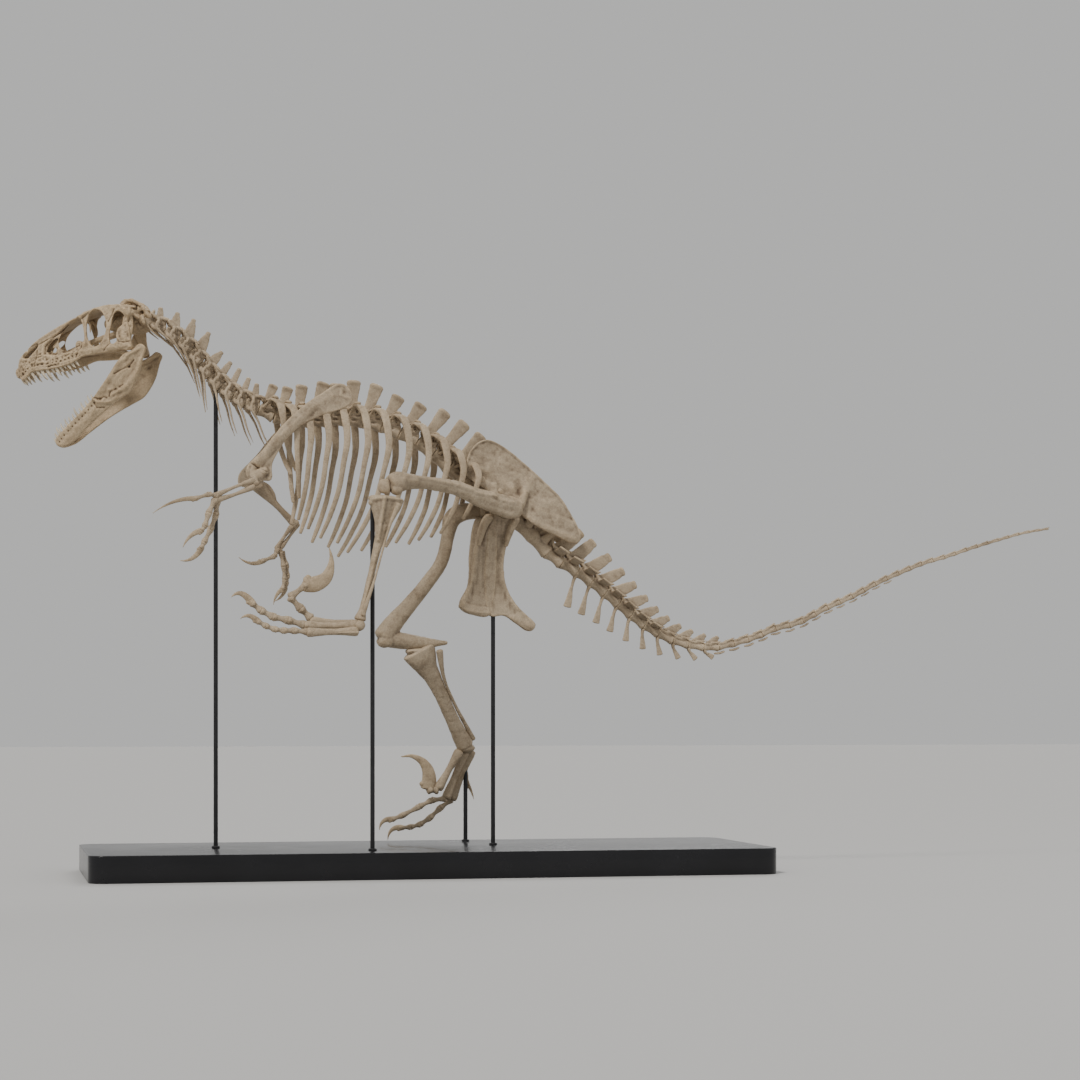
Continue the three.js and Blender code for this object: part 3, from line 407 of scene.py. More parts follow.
def bone_material(name, light=BONE_LIGHT, middle=BONE_MIDDLE, roughness=(0.58, 0.8)):
    made, tree, shader = material(name)
    place = tree.nodes.new("ShaderNodeTexCoord").outputs["Object"]
    blotches = noise_node(tree, place, *BLOTCHES)
    stains = noise_node(tree, place, *STAINS)
    specks = noise_node(tree, place, *SPECKS)
    base = ramp(tree, blotches, [(0.32, middle), (0.62, light)])
    spots = ramp(tree, stains, [(0.34, BONE_DARK), (0.52, WHITE)])
    base = blended(tree, "MULTIPLY", 0.36, base, spots)
    dust = ramp(tree, specks, [(0.30, DUST), (0.60, WHITE)])
    base = blended(tree, "MULTIPLY", 0.55, base, dust)
    # Painted shade: the hollow attribute darkens the colour in hollows and corners and lightens it on edges
    # and ridges as a painted highlight
    hollow = node(tree, "ShaderNodeAttribute", attribute_name="hollow")
    shade = ramp(tree, hollow.outputs["Fac"], [(0.22, PAINTED_EDGE_HIGHLIGHT), (FLAT, WHITE), (0.82, PAINTED_CORNER_SHADE)])
    base = blended(tree, "MULTIPLY", 0.9, base, shade)
    tree.links.new(base, shader.inputs["Base Color"])
    worn = grey_ramp(tree, stains, (0.3, roughness[1]), (0.7, roughness[0]))
    tree.links.new(worn, shader.inputs["Roughness"])
    shader.inputs["Specular IOR Level"].default_value = 0.35
    fine = grey_ramp(tree, specks, (0.3, 0), (0.7, 0.5))
    broad = grey_ramp(tree, stains, (0.3, 0), (0.7, 0.5))
    bump = node(tree, "ShaderNodeBump", Strength=0.6, Distance=0.0013)
    tree.links.new(blended(tree, "ADD", 1.0, fine, broad), bump.inputs["Height"])
    tree.links.new(bump.outputs["Normal"], shader.inputs["Normal"])
    return made


bone = bone_material("cast_bone")
skull_bone = bone_material("cast_skull", (0.520, 0.405, 0.262), (0.400, 0.300, 0.188))
# The teeth are paler than the bone: partly their own whiter colour, partly painted light so that teeth in the
# skull's shade still read as lit
tooth = bone_material("cast_teeth", (0.70, 0.62, 0.48), (0.58, 0.48, 0.34), (0.3, 0.5))
claw = bone_material("cast_claws", (0.46, 0.36, 0.24), (0.33, 0.25, 0.16), (0.42, 0.62))


def black_material(name, colour, roughness, coat, spread, scale):
    made, tree, shader = material(name)
    place = tree.nodes.new("ShaderNodeTexCoord").outputs["Object"]
    haze = noise_node(tree, place, scale, 6.0, 0.65)
    tone = ramp(tree, haze, [(0.3, colour), (0.75, tuple(c * 1.9 for c in colour))])
    tree.links.new(tone, shader.inputs["Base Color"])
    shine = grey_ramp(tree, haze, (0.3, roughness), (0.75, roughness + spread))
    tree.links.new(shine, shader.inputs["Roughness"])
    shader.inputs["Specular IOR Level"].default_value = 0.25
    shader.inputs["Coat Weight"].default_value = coat
    shader.inputs["Coat Roughness"].default_value = 0.08
    return made


base_black = black_material("gloss_black", (0.006, 0.006, 0.007), 0.18, coat=0.2, spread=0.12, scale=3.0)
rod_black = black_material("rod_black", (0.012, 0.012, 0.013), 0.38, coat=0.0, spread=0.18, scale=40.0)


# Pieces

def piece(name, bones, nodes, finish=bone, extra=()):
    """One object from separate bones, standing for the named solids. extra holds (material, mesh) pairs."""
    groups = [(finish, part) for part in bones] + list(extra)
    points, faces = merged([part for _, part in groups])
    mesh = to_mesh(name, points, faces)
    finishes = list(dict.fromkeys(made for made, _ in groups))
    for made in finishes:
        mesh.materials.append(made)
    index = np.concatenate([np.full(len(part[1]), finishes.index(made)) for made, part in groups])
    mesh.polygons.foreach_set("material_index", index.astype(np.int32))
    mesh.polygons.foreach_set("use_smooth", np.ones(len(faces), bool))
    # The hollow attribute carries the painted shade and painted highlight for the bone colour
    values = []
    for _, (part_points, part_faces) in groups:
        fused_skin = isinstance(part_faces, np.ndarray)
        values.append(hollows(part_points, part_faces) if fused_skin else np.full(len(part_points), FLAT))
    shade = mesh.attributes.new("hollow", "FLOAT", "POINT")
    shade.data.foreach_set("value", np.concatenate(values).astype(np.float32))
    made = shown(bpy.data.objects.new(name, mesh))
    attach(made, "root")
    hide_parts(*nodes)
    return made


# The backbone's line and its vertebrae

SPINE_LINE = [
    [-1020, 2012], [-957, 1982], [-893, 1934], [-838, 1874], [-790, 1814], [-733, 1764], [-674, 1728],
    [-615, 1704], [-560, 1680], [-500, 1666], [-400, 1668], [-300, 1674], [-200, 1664], [-110, 1638],
    [-30, 1600], [45, 1546], [120, 1484], [174, 1440], [250, 1385], [330, 1325], [410, 1258],
    [484, 1185], [603, 1113], [714, 1030], [826, 940], [900, 895], [960, 868], [1030, 850],
    [1085, 843], [1132, 843], [1212, 860], [1292, 884], [1369, 915], [1465, 941], [1579, 998],
    [1689, 1046], [1783, 1095], [1878, 1137], [1981, 1177], [2068, 1202], [2168, 1235], [2277, 1268],
    [2390, 1299], [2505, 1320],
]
NECK = {"start": (-1012, 2008), "end": (-618, 1705), "count": 9, "growth": 0.86}
BACK = {"start": (-618, 1705), "end": (152, 1459), "count": 12, "growth": 1.25}
SACRUM = {"start": (152, 1459), "end": (470, 1200), "count": 5, "growth": 1.0}
TAIL = {"start": (470, 1200), "end": (2500, 1319), "count": 40, "growth": 0.62}
TAIL_LENGTHS = [5, 5, 7, 10, 13]

spine_rows = spaced(spline([(x, 0, z) for x, z in SPINE_LINE], per=40), 2.0)
spine_run = np.concatenate([[0], np.cumsum(np.linalg.norm(np.diff(spine_rows, axis=0), axis=1))])


def on_spine(run):
    """The place on the backbone's line at a distance along it."""
    return np.array([np.interp(run, spine_run, spine_rows[:, k]) for k in range(3)])


class Station:
    """A vertebra's place: centre, direction toward the tail, upward direction and length."""

    def __init__(self, i, count, middle, length):
        self.i = i
        self.s = i / (count - 1)
        self.length = length
        behind, self.at, ahead = (on_spine(middle + step) for step in (-3, 0, 3))
        self.along = unit(ahead - behind)
        self.up = np.array([-self.along[2], 0, self.along[0]])

    def spot(self, along, side, height):
        return self.at + self.along * along + self.up * height + np.array([0, side, 0])

    def part(self, stations, up=None, **options):
        """A loft through stations given as tailward, sideways, upward and two sizes."""
        rows = [(*self.spot(a, b, c), w, h) for a, b, c, w, h in stations]
        return loft(rows, up=self.up if up is None else up, **options)


def stations_of(start, end, count, growth):
    def run_at(place):
        gap = np.hypot(spine_rows[:, 0] - place[0], spine_rows[:, 2] - place[1])
        return spine_run[gap.argmin()]
    first = run_at(start)
    whole = run_at(end) - first
    weights = np.linspace(1, growth, count)
    lengths = whole * weights / weights.sum()
    middles = first + np.cumsum(lengths) - lengths / 2
    return [Station(i, count, middles[i], lengths[i]) for i in range(count)]


def centrum(st, radius, waist=0.7, gap=2.5):
    """A drum with flared rims and a pinched middle."""
    reach = st.length / 2 - gap
    rows = []
    for t in (-1, -0.86, -0.5, 0, 0.5, 0.86, 1):
        wide = radius * (waist + (1 - waist) * abs(t) ** 1.7)
        rows.append((reach * t, 0, 0, wide, wide * 0.95))
    return st.part(rows, step=4, sides=20, power=2.3, cap=0.12)


def arch(st, radius, width, height):
    """The neural arch, narrower than the drum below it."""
    reach = st.length * 0.36
    middle = (radius * 0.5 + height) / 2
    half = (height - radius * 0.5) / 2
    return st.part([
        (-reach, 0, middle, width * 0.8, half * 0.9), (0, 0, middle, width * 0.95, half),
        (reach, 0, middle, width * 0.8, half * 0.85),
    ], step=5, sides=16, power=3, cap=0.3)


def zygapophyses(st, width, height, size, reach=0.6, lift=0.0):
    """Prongs that overlap the neighbours' arches, facing up in front and down behind."""
    long = st.length * reach
    front = [
        (0, width * 0.55, height * 0.72, size, size), (-long * 0.6, width * 0.85, height * 0.82, size, size),
        (-long, width * 0.95, height * 0.92 + lift, size * 0.95, size * 0.55),
    ]
    rear = [
        (0, width * 0.5, height, size, size), (long * 0.55, width * 0.75, height * 1.08, size, size * 0.9),
        (long * 0.92, width * 0.85, height * 1.1 + lift, size * 0.9, size * 0.55),
    ]
    return [
        st.part(mirrored(rows, side), step=4, sides=10) for side in (LEFT, RIGHT) for rows in (front, rear)
    ]


def spine_blade(st, base, length, lean, root, top, thick, flare=1.5, shift=0):
    """The upright blade, with a thick, rounded rim along its top."""
    tilt = math.radians(lean)
    rows = []
    for t, wide, deep in (
        (-0.12, root * 1.1, thick * 1.25), (0.12, root * 0.9, thick),
        (0.45, mix(root, top, 0.25) * 0.9, thick * 0.75), (0.72, mix(root, top, 0.7), thick * 0.75),
        (0.86, top * 0.98, thick * 0.95), (0.94, top * 1.02, thick * flare),
        (1.0, top * 0.86, thick * flare * 0.95),
    ):
        along = shift + math.sin(tilt) * length * t
        rows.append((along, 0, base + math.cos(tilt) * length * t, deep / 2, wide / 2))
    return st.part(rows, up=st.along, step=3, sides=20, power=2.7, cap=0.4)


def neck_sizes(s):
    return mix(19, 25, s), mix(17, 21, s), mix(38, 46, s)


# The neck's blades from head to shoulders: lean in degrees, reach above the backbone's line, and width
NECK_LEANS = [-22, -23, -26, -22, -9, -7, -10, -7, -12]
NECK_REACHES = [72, 86, 104, 106, 94, 96, 101, 92, 88]
NECK_WIDTHS = [36, 50, 54, 56, 50, 38, 34, 34, 36]


def cervical(st):
    radius, width, height = neck_sizes(st.s)
    blade = NECK_WIDTHS[st.i]
    parts = [
        centrum(st, radius, waist=0.66, gap=1.5),
        arch(st, radius, width, height),
        spine_blade(st, height - 10, NECK_REACHES[st.i] - height + 10, NECK_LEANS[st.i],
                    blade - 4, 19, 10, 1.2, (34 - blade) / 2),
        *zygapophyses(st, width * 1.5, height * 0.9, 7.5, 0.66),
    ]
    dive = math.radians(mix(14, 40, st.s))
    long = mix(120, 155, st.s)
    outer = mix(36, 46, st.s)
    end = (math.cos(dive) * long, outer * 0.9, -radius - math.sin(dive) * long)
    upper_root = [
        (-6, width * 0.6, height * 0.75, 8, 8), (-6, outer * 0.75, height * 0.55, 8, 6), (-2, outer, 8, 9, 6),
    ]
    lower_root = [
        (-st.length * 0.3, radius * 0.6, -radius * 0.3, 9, 7),
        (-st.length * 0.2, outer * 0.8, -radius * 0.55, 8, 6), (-2, outer, -radius * 0.55, 9, 6),
    ]
    rib_shaft = [
        (-st.length * 0.12, outer, 12, 7, 6), (0, outer, -radius * 0.5, 10, 6),
        (end[0] * 0.3, outer * 1.02, -radius * 0.9 - math.sin(dive) * long * 0.22, 7, 4.5),
        (end[0] * 0.65, outer * 0.97, end[2] * 0.72, 4.5, 3.6), (*end, 2.2, 2.0),
    ]
    for side in (LEFT, RIGHT):
        for rows, step in ((upper_root, 4), (lower_root, 4), (rib_shaft, 5)):
            parts.append(st.part(mirrored(rows, side), up=st.along, step=step, sides=10))
    pit = (st.length * 0.2, 9, radius * 0.36)
    pits = [(st.spot(2, side * radius * 0.95, -2), pit) for side in (LEFT, RIGHT)]
    return cast(parts, voxel=2.4, rounds=3, rough=0.5, pits=pits, seed=st.i)


# The ribs' drop, width and sweep, and the lean, reach and shift of the back's blades, from neck to hip
RIB_DROPS = [265, 350, 425, 462, 500, 516, 540, 496, 450, 395, 320, 215]
RIB_WIDTHS = [98, 118, 134, 146, 154, 158, 160, 158, 152, 142, 130, 118]
RIB_SWEEPS = [-40, -14, 22, 42, 56, 66, 92, 84, 72, 62, 48, 30]
BACK_LEANS = [-3, 3, 8, 18, 10, 0, 8, 9, 8, 2, 2, 2]
BACK_REACHES = [58, 72, 86, 98, 86, 100, 98, 80, 86, 110, 122, 128]
BACK_SHIFTS = [-14, -10, 0, 0, 0, -8, -22, -22, -20, -20, -22, -22]


def dorsal(st):
    radius = mix(25, 31, st.s)
    grow = min(1, st.s * 3)
    parts = [
        centrum(st, radius, waist=0.7),
        arch(st, radius, 17, 54),
        spine_blade(st, 44, BACK_REACHES[st.i] + 4, BACK_LEANS[st.i],
                    mix(36, 46, grow), mix(38, 54, grow), 12, 1.6, BACK_SHIFTS[st.i]),
        *zygapophyses(st, 22, 48, 8, 0.6),
    ]
    wide = mix(66, 58, st.s)
    wing = [(2, 6, 46, 22, 7), (3, 34, 54, 17, 6), (4, wide, 60, 12, 6), (4, wide + 6, 58, 9, 6)]
    for side in (LEFT, RIGHT):
        parts.append(st.part(mirrored(wing, side), step=4, sides=14, power=2.6))
        for way in (-1, 1):
            strut = [
                (way * st.length * 0.2, 12, 30, 4, 8), (way * 10, 32, 46, 3.5, 7), (4, wide * 0.8, 54, 3, 4),
            ]
            parts.append(st.part(mirrored(strut, side), step=4, sides=10))
    pit = (st.length * 0.24, 10, radius * 0.42)
    nook = st.length * 0.16
    pits = [(st.spot(0, side * radius * 0.92, 4), pit) for side in (LEFT, RIGHT)]
    pits += [(st.spot(way * nook, side * 24, 36), (8, 12, 9)) for side in (LEFT, RIGHT) for way in (-1, 1)]
    return cast(parts, voxel=2.8, rounds=3, rough=0.6, pits=pits, seed=40 + st.i)


def rib(st, side):
    drop = RIB_DROPS[st.i]
    wide = RIB_WIDTHS[st.i]
    sweep = RIB_SWEEPS[st.i]
    top = st.spot(2, 0, 56)

    def down(x, y, fall, w, h):
        return (top[0] + x, side * y, top[2] - fall, w, h)
    tip = down(16 - sweep * 1.5, wide * 0.76, drop, 3.6, 7)
    shaft = loft([
        (*st.spot(0, side * 52, 52), 6, 11),
        down(12, wide * 0.72, drop * 0.045, 6.5, 14),
        down(20, wide * 0.88, drop * 0.12, 6.5, 15),
        down(26, wide * 0.99, drop * 0.28, 6, 13),
        down(23 - sweep * 0.2, wide * 1.01, drop * 0.46, 5.6, 10.5),
        down(22 - sweep * 0.5, wide * 0.97, drop * 0.66, 5.2, 10),
        down(19 - sweep * 1.0, wide * 0.88, drop * 0.85, 4.8, 9.5),
        tip,
    ], up=ALONG, step=5, sides=14, power=2.3, cap=0.7)
    head = loft([
        (*st.spot(-st.length * 0.3, side * 20, 12), 6, 7), (*st.spot(-st.length * 0.16, side * 38, 34), 5, 7),
        (*st.spot(-4, side * 66, 47), 6, 9), down(18, wide * 0.86, drop * 0.1, 5, 9),
    ], up=ALONG, step=5, sides=12)
    return cast([shaft, head], voxel=2.6, rounds=2, rough=0.45, seed=60 + st.i * 2 + (side > 0))


def make_back():
    """The column stands for both halves of the cage, and each half has its own ribs."""
    places = stations_of(**BACK)
    column = [dorsal(st) for st in places]
    piece("back_vertebrae", column, ["torso_left", "torso_right"])
    for word, side in SIDES:
        piece(f"ribs_{word}", [rib(st, side) for st in places], [f"torso_{word}"])


def atlas(st):
    front = st.length * 0.62
    parts = [st.part([(-front - 14, 0, 0, 23, 23), (-front + 6, 0, 0, 22, 22)], step=3, sides=20)]
    upper = [
        (-front - 2, 16, 8, 8, 9), (-front, 20, 26, 7, 8),
        (-front + 4, 10, 44, 8, 5), (-front + 6, 0, 46, 8, 4),
    ]
    lower = [(-front, 18, -12, 6, 5), (-front + 20, 26, -24, 5, 4), (-front + 62, 24, -36, 2.5, 2)]
    for side in (LEFT, RIGHT):
        parts.append(st.part(mirrored(upper, side), up=ALONG, step=4, sides=10))
        parts.append(st.part(mirrored(lower, side), step=4, sides=8))
    return cast(parts, voxel=2.2, rounds=2, rough=0.4, seed=90)


def make_neck():
    places = stations_of(**NECK)
    piece("neck_front_vertebrae", [atlas(places[0]), *(cervical(st) for st in places[:5])], ["neck_front"])
    piece("neck_rear_vertebrae", [cervical(st) for st in places[5:]], ["neck_rear"])


SACRAL_HEIGHTS = [175, 168, 150, 128, 102]


def make_sacrum():
    places = stations_of(**SACRUM)
    parts = []
    for st in places:
        parts.append(centrum(st, 30, waist=0.8, gap=-2))
        parts.append(arch(st, 30, 16, 56))
        parts.append(spine_blade(st, 40, SACRAL_HEIGHTS[st.i] - 40, 0, 44, st.length * 0.9, 10, 1.4))
        strut = [(0, 12, 16, 20, 14), (0, 40, 24 + 5 * st.i, 13, 12), (0, 72, 34 + 9 * st.i, 18, 15 - st.i)]
        for side in (LEFT, RIGHT):
            parts.append(st.part(mirrored(strut, side), step=4, sides=12))
    ridge = [(*st.spot(0, 0, SACRAL_HEIGHTS[st.i] * 0.62), 4, SACRAL_HEIGHTS[st.i] * 0.3) for st in places]
    parts.append(loft(ridge, up=places[2].up, step=6, sides=10, power=3))
    piece("fused_sacrum", [cast(parts, voxel=3.2, rounds=3, rough=0.7, seed=95)], ["sacrum"])


# Counted from the hip: the tail vertebrae with an upright blade, with wings, as far as the last chevron,
# and those before the first chevron
SPINED = 12
WINGED = 8
UNDERSLUNG = 26
BARE = 2


def tail_radius(s):
    return mix(27, 15, s / 0.3) if s < 0.3 else mix(15, 4.5, (s - 0.3) / 0.7)


def caudal(st):
    radius = tail_radius(st.s)
    fade = max(0, 1 - st.i / SPINED)
    height = radius * mix(1.15, 1.6, fade)
    parts = [centrum(st, radius, waist=0.68, gap=1.2), arch(st, radius, radius * 0.55, height)]
    size = max(radius * 0.26, 1.8)
    parts += zygapophyses(st, radius * 0.7, height, size, 0.66, lift=radius * 0.25)
    if st.i < SPINED:
        reach = 24 + 86 * fade - height + 6 + radius * 1.4
        parts.append(spine_blade(st, height - 6, reach, mix(17, 46, (1 - fade) ** 0.8),
                                 38 + 26 * fade, 17 + 25 * fade, 7 + 3 * fade, 1.6))
    if st.i < WINGED:
        span = radius + 10 + 56 * fade
        wing = [
            (0, 4, radius * 0.8, st.length * 0.3, 7),
            (2, span * 0.5, radius * 0.85 + 4 * fade, st.length * 0.28, 4.5),
            (6, span, radius * 0.9 + 8 * fade, st.length * 0.38, 4.2),
        ]
        for side in (LEFT, RIGHT):
            parts.append(st.part(mirrored(wing, side), step=4, sides=14, power=2.6))
    voxel = mix(2.8, 1.5, st.s)
    return cast(parts, voxel=voxel, rounds=2, rough=0.5 * voxel / 2.8, seed=100 + st.i)


def chevron(st):
    """The haemal arch that hangs below a joint of the tail."""
    fade = max(0, 1 - st.i / SPINED)
    radius = tail_radius(st.s)
    deep = radius + 12 + 112 * fade
    start = -st.length * 0.42
    end = start + st.length * 0.1 + 34 * fade + 26 * (1 - fade)
    prong = [
        (start, radius * 0.5, -radius * 0.72, 5, 6), (start + 4, radius * 0.3, -radius - 10 * fade - 3, 5, 5),
        (mix(start, end, 0.4), 1.5, -mix(radius, deep, 0.42), 4, 6),
    ]
    blade = [
        (mix(start, end, 0.3), 0, -mix(radius, deep, 0.35), 4.5, 7),
        (mix(start, end, 0.7), 0, -mix(radius, deep, 0.7), 3.8, 9 + 4 * fade),
        (end, 0, -deep, 3.8, 11 + 7 * fade),
    ]
    parts = [st.part(mirrored(prong, side), up=st.along, step=4, sides=10) for side in (LEFT, RIGHT)]
    parts.append(st.part(blade, up=st.along, step=4, sides=14, power=2.4, cap=0.9))
    return cast(parts, voxel=2.2, rounds=2, rough=0.4, seed=150 + st.i)


def low_chevron(st):
    """Past the tall ones the chevrons are short boat shapes under the joints."""
    radius = tail_radius(st.s)
    boat = [
        (-st.length * 0.85, 0, -radius * 1.3, radius * 0.3, radius * 0.26),
        (-st.length * 0.5, 0, -radius * 1.5, radius * 0.45, radius * 0.34),
        (-st.length * 0.2, 0, -radius * 1.35, radius * 0.3, radius * 0.26),
    ]
    return cast([st.part(boat, step=3, sides=10)], voxel=1.6, rounds=2, rough=0.25, seed=190 + st.i)


def make_tail():
    places = stations_of(**TAIL)
    first = 0
    for number, count in enumerate(TAIL_LENGTHS, 1):
        run = places[first:first + count]
        first += count
        bones = [caudal(st) for st in run]
        bones += [chevron(st) for st in run if BARE <= st.i < SPINED]
        bones += [low_chevron(st) for st in run if SPINED <= st.i < UNDERSLUNG]
        piece(f"tail_{number}_vertebrae", bones, [f"tail_{number}"])


make_neck()
make_back()
make_sacrum()
make_tail()


# Relief on flat bones, drawn in the plane of the bone

def near_line(places, line):
    """How far each flat place is from a broken line."""
    best = np.full(len(places), 1e9)
    for start, end in zip(line, line[1:]):
        start = np.asarray(start, float)
        way = np.asarray(end, float) - start
        t = np.clip(((places - start) @ way) / (way @ way), 0, 1)
        best = np.minimum(best, np.linalg.norm(places - start - t[:, None] * way, axis=1))
    return best


def within(places, loop):
    inside = np.zeros(len(places), bool)
    for (x0, z0), (x1, z1) in zip(loop, loop[1:] + loop[:1]):
        if z0 == z1:
            continue
        crosses = (places[:, 1] < z0) != (places[:, 1] < z1)
        inside ^= crosses & (places[:, 0] < (x1 - x0) * (places[:, 1] - z0) / (z1 - z0) + x0)
    return inside


def raised(places, line, width, height):
    return height * np.exp(-(near_line(places, line) / width) ** 2)


def dent(places, centre, size, depth):
    """A smooth oval hollow."""
    return -depth * np.exp(-(np.linalg.norm((places - centre) / size, axis=1)) ** 2)


def carved(places, ridges, dents=()):
    """Ridges as (line, width, height) and dents as (centre, size, depth), added up."""
    lift = np.zeros(len(places))
    for ridge in ridges:
        lift += raised(places, *ridge)
    for hollow in dents:
        lift += dent(places, *hollow)
    return lift


def flat_grain(x, y, z, size, seed):
    """Random relief over a flat bone, from three coordinates that may be stretched or left at 0."""
    return grain(np.stack(np.broadcast_arrays(x, y, z), axis=1), size, seed)


def facing_out(normals, side):
    """From 0 to 1, how far each point of a surface faces out to its side."""
    return np.clip(side * normals[:, 1] * 1.3, 0, 1)


def read_off(table, at):
    """The value at a place, between a table's rows of (place, value)."""
    return np.interp(at, *np.array(table, float).T)


MIDLINE_GAP = 0.3


def held_back(points, side):
    """Keeps a skin on its own side of the midline."""
    points[:, 1] = side * np.maximum(side * points[:, 1], MIDLINE_GAP)
    return points


def sunk(places, loop, depth, soft):
    """A shallow basin inside a loop, with a rim `soft` wide."""
    edge = near_line(places, loop + loop[:1])
    return np.where(within(places, loop), -depth * np.clip(edge / soft, 0, 1) ** 0.7, 0)


# Skull: its own axes have -X forward along the tooth row and Z up, with f the distance forward.
# Ridges are (line, width, height)

NECK_JOINT = (-1000, 0, 1998)
# Brings the knob that meets the neck to the origin, where the jaw joint is otherwise
KNOB_SHIFT = (-70, 0, -87)
PITCH = math.radians(15)
YAW = math.radians(21)
GAPE = math.radians(34.5)
STRETCH = (1.045, 1, 1, 1)
HEAD_MATRIX = (Matrix.Translation(NECK_JOINT)
               @ Matrix.Rotation(-YAW, 4, "Z")
               @ Matrix.Rotation(-PITCH, 4, "Y")
               @ Matrix.Diagonal(STRETCH)
               @ Matrix.Translation(KNOB_SHIFT))
JAW_MATRIX = HEAD_MATRIX @ Matrix.Rotation(-GAPE, 4, "Y")

SKULL_OUTLINE = [
    (431, 29), (414, 30), (402, 37), (386, 46), (361, 43), (324, 37), (290, 31), (245, 28), (213, 32),
    (174, 38), (139, 31), (98, 24), (46, 19), (9, 4), (-6, 8), (-8, 45), (-12, 84), (-8, 112), (-26, 140),
    (-22, 168), (10, 184), (54, 196), (87, 200), (141, 199), (169, 193), (221, 184), (276, 172), (335, 155),
    (393, 126), (427, 96), (435, 52),
]
NARIS = [(403, 106), (388, 127), (360, 140), (338, 143), (341, 130), (364, 113), (387, 101)]
PROMAXILLARY = [(313, 99), (304, 118), (284, 133), (262, 139), (262, 128), (284, 115), (298, 96)]
MAXILLARY = [(294, 101), (283, 108), (273, 97), (284, 87)]
ANTORBITAL = [
    (264, 112), (251, 142), (209, 171), (168, 179), (160, 154), (162, 113), (169, 92), (186, 103), (199, 98),
    (204, 82), (228, 78), (255, 90),
]
ORBIT = [
    (141, 154), (122, 186), (99, 192), (80, 178), (70, 143), (74, 112), (90, 79), (112, 60), (134, 61),
    (147, 83), (150, 112),
]
LATERAL = [
    (33, 156), (15, 158), (0, 130), (8, 110), (33, 92), (42, 70), (46, 47), (66, 48), (67, 75), (53, 115),
]
SKULL_WIDTHS = [(-30, 104), (50, 100), (120, 84), (200, 62), (300, 44), (400, 26), (445, 10)]
FOSSA = [
    (326, 92), (316, 124), (280, 146), (240, 164), (196, 182), (160, 180), (158, 100), (176, 84), (206, 72),
    (262, 70),
]
SKULL_RIDGES = [
    ([(420, 104), (380, 134), (335, 152), (276, 168), (221, 180), (169, 190)], 7, 3.5),
    ([(166, 190), (155, 150), (156, 110), (168, 74)], 5, 3.5),
    ([(198, 92), (182, 94), (168, 82)], 9, 6.0),
    ([(270, 84), (262, 112), (250, 140)], 5, 3.0),
    ([(170, 190), (140, 194), (100, 192)], 8, 4.0),
    ([(80, 190), (72, 150), (86, 104), (98, 66)], 6, 3.5),
    ([(200, 62), (150, 50), (100, 42), (50, 30), (0, 22), (-26, 26)], 9, 4.5),
    ([(40, 176), (0, 160), (-16, 130)], 8, 4.0),
    ([(330, 96), (322, 128), (286, 146)], 4, 2.2),
    ([(3, 104), (27, 96), (40, 77), (36, 57)], 6, 4.0),
    ([(-8, 96), (-10, 72), (-20, 45)], 7, 4.0),
    ([(14, 84), (18, 64), (10, 48)], 8, 3.0),
    ([(52, 46), (44, 40)], 6, 4.5),
    ([(8, 183), (-6, 160), (-22, 143), (-42, 119)], 6, 7.0),
    ([(387, 57), (350, 60), (325, 52), (300, 50), (282, 46)], 3.2, 2.6),
    ([(374, 78), (359, 80), (348, 70), (332, 67), (318, 57)], 3.4, 2.6),
    ([(330, 38), (296, 34), (262, 31)], 3, 1.8),
]
SKULL_SUTURES = [
    [(372, 60), (364, 76), (352, 96), (346, 116)],
    [(346, 134), (300, 142), (250, 152), (214, 172)],
    [(208, 44), (196, 62), (180, 72), (172, 96)],
    [(96, 32), (80, 44), (64, 52)],
    [(160, 176), (130, 186), (112, 196)],
    [(60, 132), (44, 150), (30, 172)],
    [(44, 62), (34, 44), (14, 36), (-8, 34)],
    [(318, 43), (304, 45), (288, 42)],
    [(26, 104), (2, 112), (-10, 110)],
]


def skull_side(forward, height):
    """Half the skull's width: it leans in toward the roof."""
    lean = np.clip((height - 40) / 160, 0, 1)
    roof = np.where(forward > 150, 0.5, 0.42)
    return read_off(SKULL_WIDTHS, forward) * (1 - roof * lean)


def flipped(loop):
    return [(-f, u) for f, u in loop]


def side_wall(outline, holes, thickness, width_at, side):
    """A flat outline with holes, bent out to one side of the head."""
    points, faces = fused([slab(flipped(outline), thickness, [flipped(hole) for hole in holes], step=4)], 3)
    points = relaxed(points, faces, 2)
    points[:, 1] += side * width_at(-points[:, 0], points[:, 2])
    return points, faces


def head_loft(rows, side=RIGHT, **options):
    return loft([(-f, side * y, u, w, h) for f, y, u, w, h in rows], **options)


UPPER_EDGE = SKULL_OUTLINE[8::-1]
UPPER_TEETH = [
    (427, 17, 3.8), (415, 17, 4.0), (403, 20, 4.6), (385, 33, 5.0), (363, 28, 5.2), (346, 37, 5.6),
    (326, 37, 5.6), (307, 17, 4.4), (291, 30, 5.2), (274, 21, 5.0), (259, 11, 3.4), (244, 20, 5.0),
    (228, 20, 5.0), (212, 20, 4.8),
]
LOWER_TEETH = [
    (428, 14, 3.6), (415, 20, 4.0), (398, 27, 4.4), (376, 25, 4.4), (354, 26, 4.6), (338, 20, 4.0),
    (320, 18, 4.0), (303, 30, 4.8), (286, 16, 3.8), (270, 25, 4.6), (252, 18, 4.0), (235, 22, 4.2),
    (220, 15, 3.6),
]


def teeth(side, row, widths, edges, up):
    """Flattened, backswept teeth, each given as its place along the jaw, its length and its half width."""
    made = []
    way = 1 if up else -1
    for f, long, wide in row:
        y = read_off(widths, f) - 2
        edge = read_off(edges, f)
        back = 0.42 * long if up else 0.36 * long
        made.append(head_loft([
            (f + 2, y, edge - way * 9, 2.8, wide), (f + 1, y, edge, 2.9, wide),
            (f - back * 0.15, y, edge + way * long * 0.35, 2.6, wide * 0.92),
            (f - back * 0.5, y, edge + way * long * 0.72, 1.8, wide * 0.62),
            (f - back, y, edge + way * long, 0.7, 1.0),
        ], side, up=ALONG, step=3, sides=12, cap=1))
    return made


